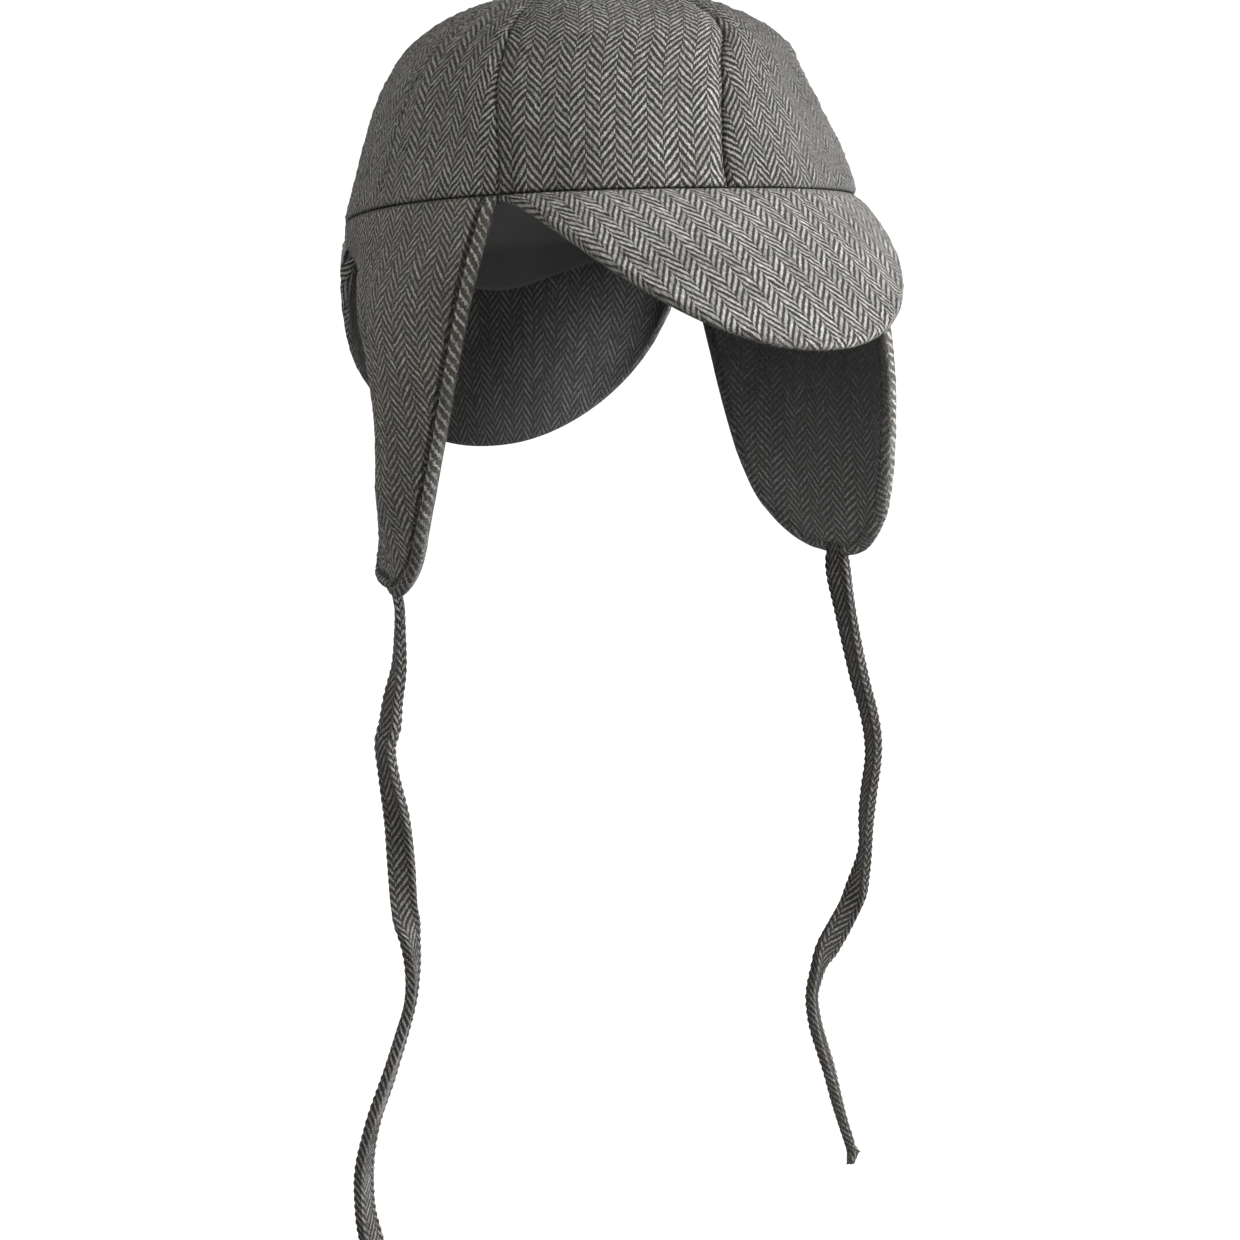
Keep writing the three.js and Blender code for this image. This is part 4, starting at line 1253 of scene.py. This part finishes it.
def make_flap(node, flap):
    """One ear flap: its cloth, its material and its place."""
    side = flap["side"]

    def point(u, w):
        return flap_point(flap, side * (2 * u - 1), w)

    across = edge_places(FLAP_WIDTH, NEAR_EDGE, 0.0015) / FLAP_WIDTH
    down = hanging_rows(SEAM_ROWS, np.linspace(0.07, 0.92, 76), FLAP_REACH)

    def thickness(edge):
        lip = 0.0006 * np.exp(-((edge - 0.0025) / 0.0022) ** 2)
        stitched = 0.0008 * np.exp(-((edge - FLAP_STITCHING) / 0.0009) ** 2)
        return 0.0020 + lip - stitched

    skins, flat, lip, edge, below, middle = hanging_cloth(
        node, point, across, down, thickness, flap_pattern, 0.0026
    )
    patterns = (
        turned(flat, 0, (flap["grain"], FLAP_OUTSIDE)),
        turned(flat * np.array([-1 / flap["inner_scale"], 1]), 0, (0.0, FLAP_INSIDE)),
    )
    piece = cloth_piece(f"{node}_cloth", skins, patterns, below, edge, ("foot",), lip)
    dress(piece, tweed("tweed_flaps", stitch_line=FLAP_STITCHING), node)


class HAT_OT_flaps(bpy.types.Operator):
    """Hangs the two ear flaps"""

    bl_idname = "hat.flaps"
    bl_label = "Ear flaps"

    def execute(self, context):
        make_flap("ear_flap_right", RIGHT_FLAP)
        make_flap("ear_flap_left", LEFT_FLAP)
        return {"FINISHED"}


# Rings along a tie, and sides of a ring.
TIE_RINGS = 520
TIE_SIDES = 36


def spline(points, count):
    """Points and tangents on a smooth curve through the given points."""
    at = np.linspace(0, len(points) - 1, count)
    line = np.stack([smooth_row(points[:, k], at) for k in range(points.shape[1])], axis=1)
    return line, unit(np.gradient(line[:, :3], axis=0))


def relief(u, v, column, pitch):
    """Height of the herringbone's strokes, from 0 to 1, as in the material."""
    number = np.floor(u / column)
    odd = np.mod(number, 2)
    inside = u / column - number - 0.5
    phase = v / pitch + (2 * odd - 1) * inside * 2 + odd * 0.5
    return ease(-0.6, 0.8, np.sin(2 * math.pi * phase))


def make_tie(node, route, flare, seed):
    """One tie: a folded strip that hangs and turns, with its strokes raised."""
    cloth = bpy.context.scene.hat_cloth
    line, along = spline(np.array(route, float), TIE_RINGS)
    centre, turn = line[:, :3], np.radians(line[:, 3])
    steps = np.linalg.norm(np.diff(centre, axis=0), axis=1)
    down = np.concatenate([[0], np.cumsum(steps)])
    level = np.array([math.cos(TIE_TURN_AXIS), -math.sin(TIE_TURN_AXIS), 0.0])
    wide = unit(level - (along @ level)[:, None] * along)
    other = np.cross(along, wide)
    wide = wide * np.cos(turn)[:, None] + other * np.sin(turn)[:, None]
    thin = np.cross(along, wide)
    angle = np.linspace(0, 2 * math.pi, TIE_SIDES + 1)
    c, s = np.cos(angle), np.sin(angle)
    shape_x = 0.5 * TIE_WIDTH * c / np.maximum(np.abs(c), 0.8)
    shape_y = 0.5 * TIE_THICKNESS * s / np.maximum(np.abs(s), 0.6)
    shape_y = shape_y * (1 - 0.12 * np.exp(-(((shape_x - 0.0025) / 0.0009) ** 2)))
    vary = 1 + 0.05 * ramble(seed, down / 0.013) + 0.03 * ramble(seed + 1, down / 0.005)
    left = down[-1] - down
    waist = flare * 0.42 * np.exp(-((left - 0.0045) / 0.0022) ** 2)
    spread = flare * 0.22 * np.exp(-(left / 0.0018) ** 2)
    width = vary * (1 - waist) * (1 + spread) * (0.82 + 0.18 * ease(0.0, 0.008, down))
    curl = 0.0006 * ramble(seed + 2, down / 0.022)
    x = shape_x[None] * width[:, None]
    swell = 1 + 0.06 * ramble(seed + 3, down / 0.009)
    y = shape_y[None] * swell[:, None] + curl[:, None] * (1 - (x / (0.5 * TIE_WIDTH)) ** 2)
    ring = np.concatenate([[0], np.cumsum(np.hypot(np.diff(shape_x), np.diff(shape_y)))])
    u = np.broadcast_to(ring[None], x.shape) + cloth.column_width * 0.25
    v = np.broadcast_to(-down[:, None], x.shape)
    outward = unit(np.stack([c * TIE_THICKNESS, s * TIE_WIDTH], axis=1))
    bumps = 0.00034 * (relief(u, v, cloth.column_width, cloth.stroke_pitch) - 0.6)
    x = x + bumps * outward[:, 0]
    y = y + bumps * outward[:, 1]
    surface = centre[:, None] + wide[:, None] * x[..., None] + thin[:, None] * y[..., None]
    points = surface.transpose(1, 0, 2)
    uv = np.stack([u, v], axis=-1).transpose(1, 0, 2) + np.array([0, TIE_OUTSIDE + seed])
    mesh = bpy.data.meshes.new(node)
    top = np.arange(TIE_SIDES) * TIE_RINGS
    ends = [top[::-1].tolist(), (top + TIE_RINGS - 1).tolist()]
    faces = grid_faces(TIE_SIDES + 1, TIE_RINGS).tolist() + ends
    mesh.from_pydata(points.reshape(-1, 3).tolist(), [], faces)
    spots = {"seam": FAR, "edge": left[:, None], "inside": 0.0, "tone_and_painted_shade": 1.0, "nap": 0.0}
    for label, values in spots.items():
        put_values(mesh, label, np.broadcast_to(values, x.shape).T)
    put_pattern(mesh, uv.reshape(-1, 2))
    piece = finished(f"{node}_strip", mesh)
    dress(piece, tweed("tweed_ties"), node)


class HAT_OT_ties(bpy.types.Operator):
    """Hangs a tie from the tip of each ear flap"""

    bl_idname = "hat.ties"
    bl_label = "Ties"

    def execute(self, context):
        make_tie("tie_right", RIGHT_TIE, 0.0, 0)
        make_tie("tie_left", LEFT_TIE, 1.0, 10)
        return {"FINISHED"}


def area_light(name, place, target, size, power):
    """A soft square light that points at a target."""
    data = bpy.data.lights.new(name, "AREA")
    data.shape = "SQUARE"
    data.size = size
    data.energy = power
    lamp = bpy.data.objects.new(name, data)
    lamp.location = place
    lamp.rotation_euler = (Vector(target) - Vector(place)).to_track_quat("-Z", "Y").to_euler()
    bpy.context.scene.collection.objects.link(lamp)


# The studio: floor, colour of the air, and place, size and target of the key light.
FLOOR_SIZE = 40.0
AIR_COLOUR = (1.0, 0.985, 0.955)
KEY_PLACE = (1.42, -1.50, 0.66)
KEY_SIZE = 0.9
KEY_TARGET = (0, 0, -0.03)


class HAT_OT_stage(bpy.types.Operator):
    """Sets the camera, the pale floor and backdrop, and the soft lights"""

    bl_idname = "hat.stage"
    bl_label = "Studio"

    def execute(self, context):
        scene = context.scene
        settings = scene.hat_stage
        data = bpy.data.cameras.new("camera")
        data.lens = CAMERA_LENS
        data.sensor_width = 36
        data.clip_start = 0.01
        data.clip_end = 50
        camera = bpy.data.objects.new("camera", data)
        camera.location = CAMERA_PLACE
        camera.rotation_euler = (math.radians(90 + CAMERA_PITCH), 0, math.radians(CAMERA_AZIMUTH))
        scene.collection.objects.link(camera)
        scene.camera = camera
        bpy.ops.object.select_all(action="DESELECT")
        bpy.ops.mesh.primitive_plane_add(size=FLOOR_SIZE, location=(0, 0, settings.floor_height))
        floor = context.object
        floor.name = "studio_floor"
        material = bpy.data.materials.new("studio_paper")
        material.use_nodes = True
        g = Graph(material.node_tree)
        shader = material.node_tree.nodes["Principled BSDF"]
        shader.inputs["Base Color"].default_value = four(settings.floor_colour)
        shader.inputs["Roughness"].default_value = 0.9
        shader.inputs["Specular IOR Level"].default_value = 0.1
        shader.inputs["Emission Color"].default_value = (1.0, 1.0, 1.0, 1.0)
        seen = g.node("ShaderNodeLightPath").outputs["Is Camera Ray"]
        g.set(shader.inputs["Emission Strength"], seen)
        floor.data.materials.append(material)
        world = bpy.data.worlds.new("studio_air")
        world.use_nodes = True
        g = Graph(world.node_tree)
        seen = g.node("ShaderNodeLightPath").outputs["Is Camera Ray"]
        air = world.node_tree.nodes["Background"]
        air.inputs[0].default_value = (*AIR_COLOUR, 1.0)
        g.set(air.inputs[1], g.math("MULTIPLY_ADD", seen, 1.1 - settings.air, settings.air))
        scene.world = world
        scene.view_settings.view_transform = "Standard"
        area_light("key_light", KEY_PLACE, KEY_TARGET, KEY_SIZE, settings.key_power)
        return {"FINISHED"}


class HAT_PT_panel(bpy.types.Panel):
    """The hat's steps and settings"""

    bl_idname = "HAT_PT_panel"
    bl_label = "Deerstalker Hat"
    bl_space_type = "VIEW_3D"
    bl_region_type = "UI"
    bl_category = "Hat"

    def draw(self, context):
        layout = self.layout
        for step in STEPS:
            layout.operator(step.bl_idname)
        for group in (context.scene.hat_cloth, context.scene.hat_stage):
            for name in group.__annotations__:
                layout.prop(group, name)


STEPS = (HAT_OT_stage, HAT_OT_ties, HAT_OT_crown, HAT_OT_lining, HAT_OT_peaks, HAT_OT_flaps)
CLASSES = (HatCloth, HatStage, *STEPS, HAT_PT_panel)


def register():
    for made in CLASSES:
        bpy.utils.register_class(made)
    bpy.types.Scene.hat_cloth = bpy.props.PointerProperty(type=HatCloth)
    bpy.types.Scene.hat_stage = bpy.props.PointerProperty(type=HatStage)


def unregister():
    del bpy.types.Scene.hat_cloth
    del bpy.types.Scene.hat_stage
    for made in reversed(CLASSES):
        bpy.utils.unregister_class(made)


def main():
    register()
    bpy.ops.object.select_all(action="DESELECT")
    bpy.ops.hat.stage()
    bpy.ops.hat.ties()
    bpy.ops.hat.crown()
    bpy.ops.hat.lining()
    bpy.ops.hat.peaks()
    bpy.ops.hat.flaps()


if __name__ == "__main__":
    main()
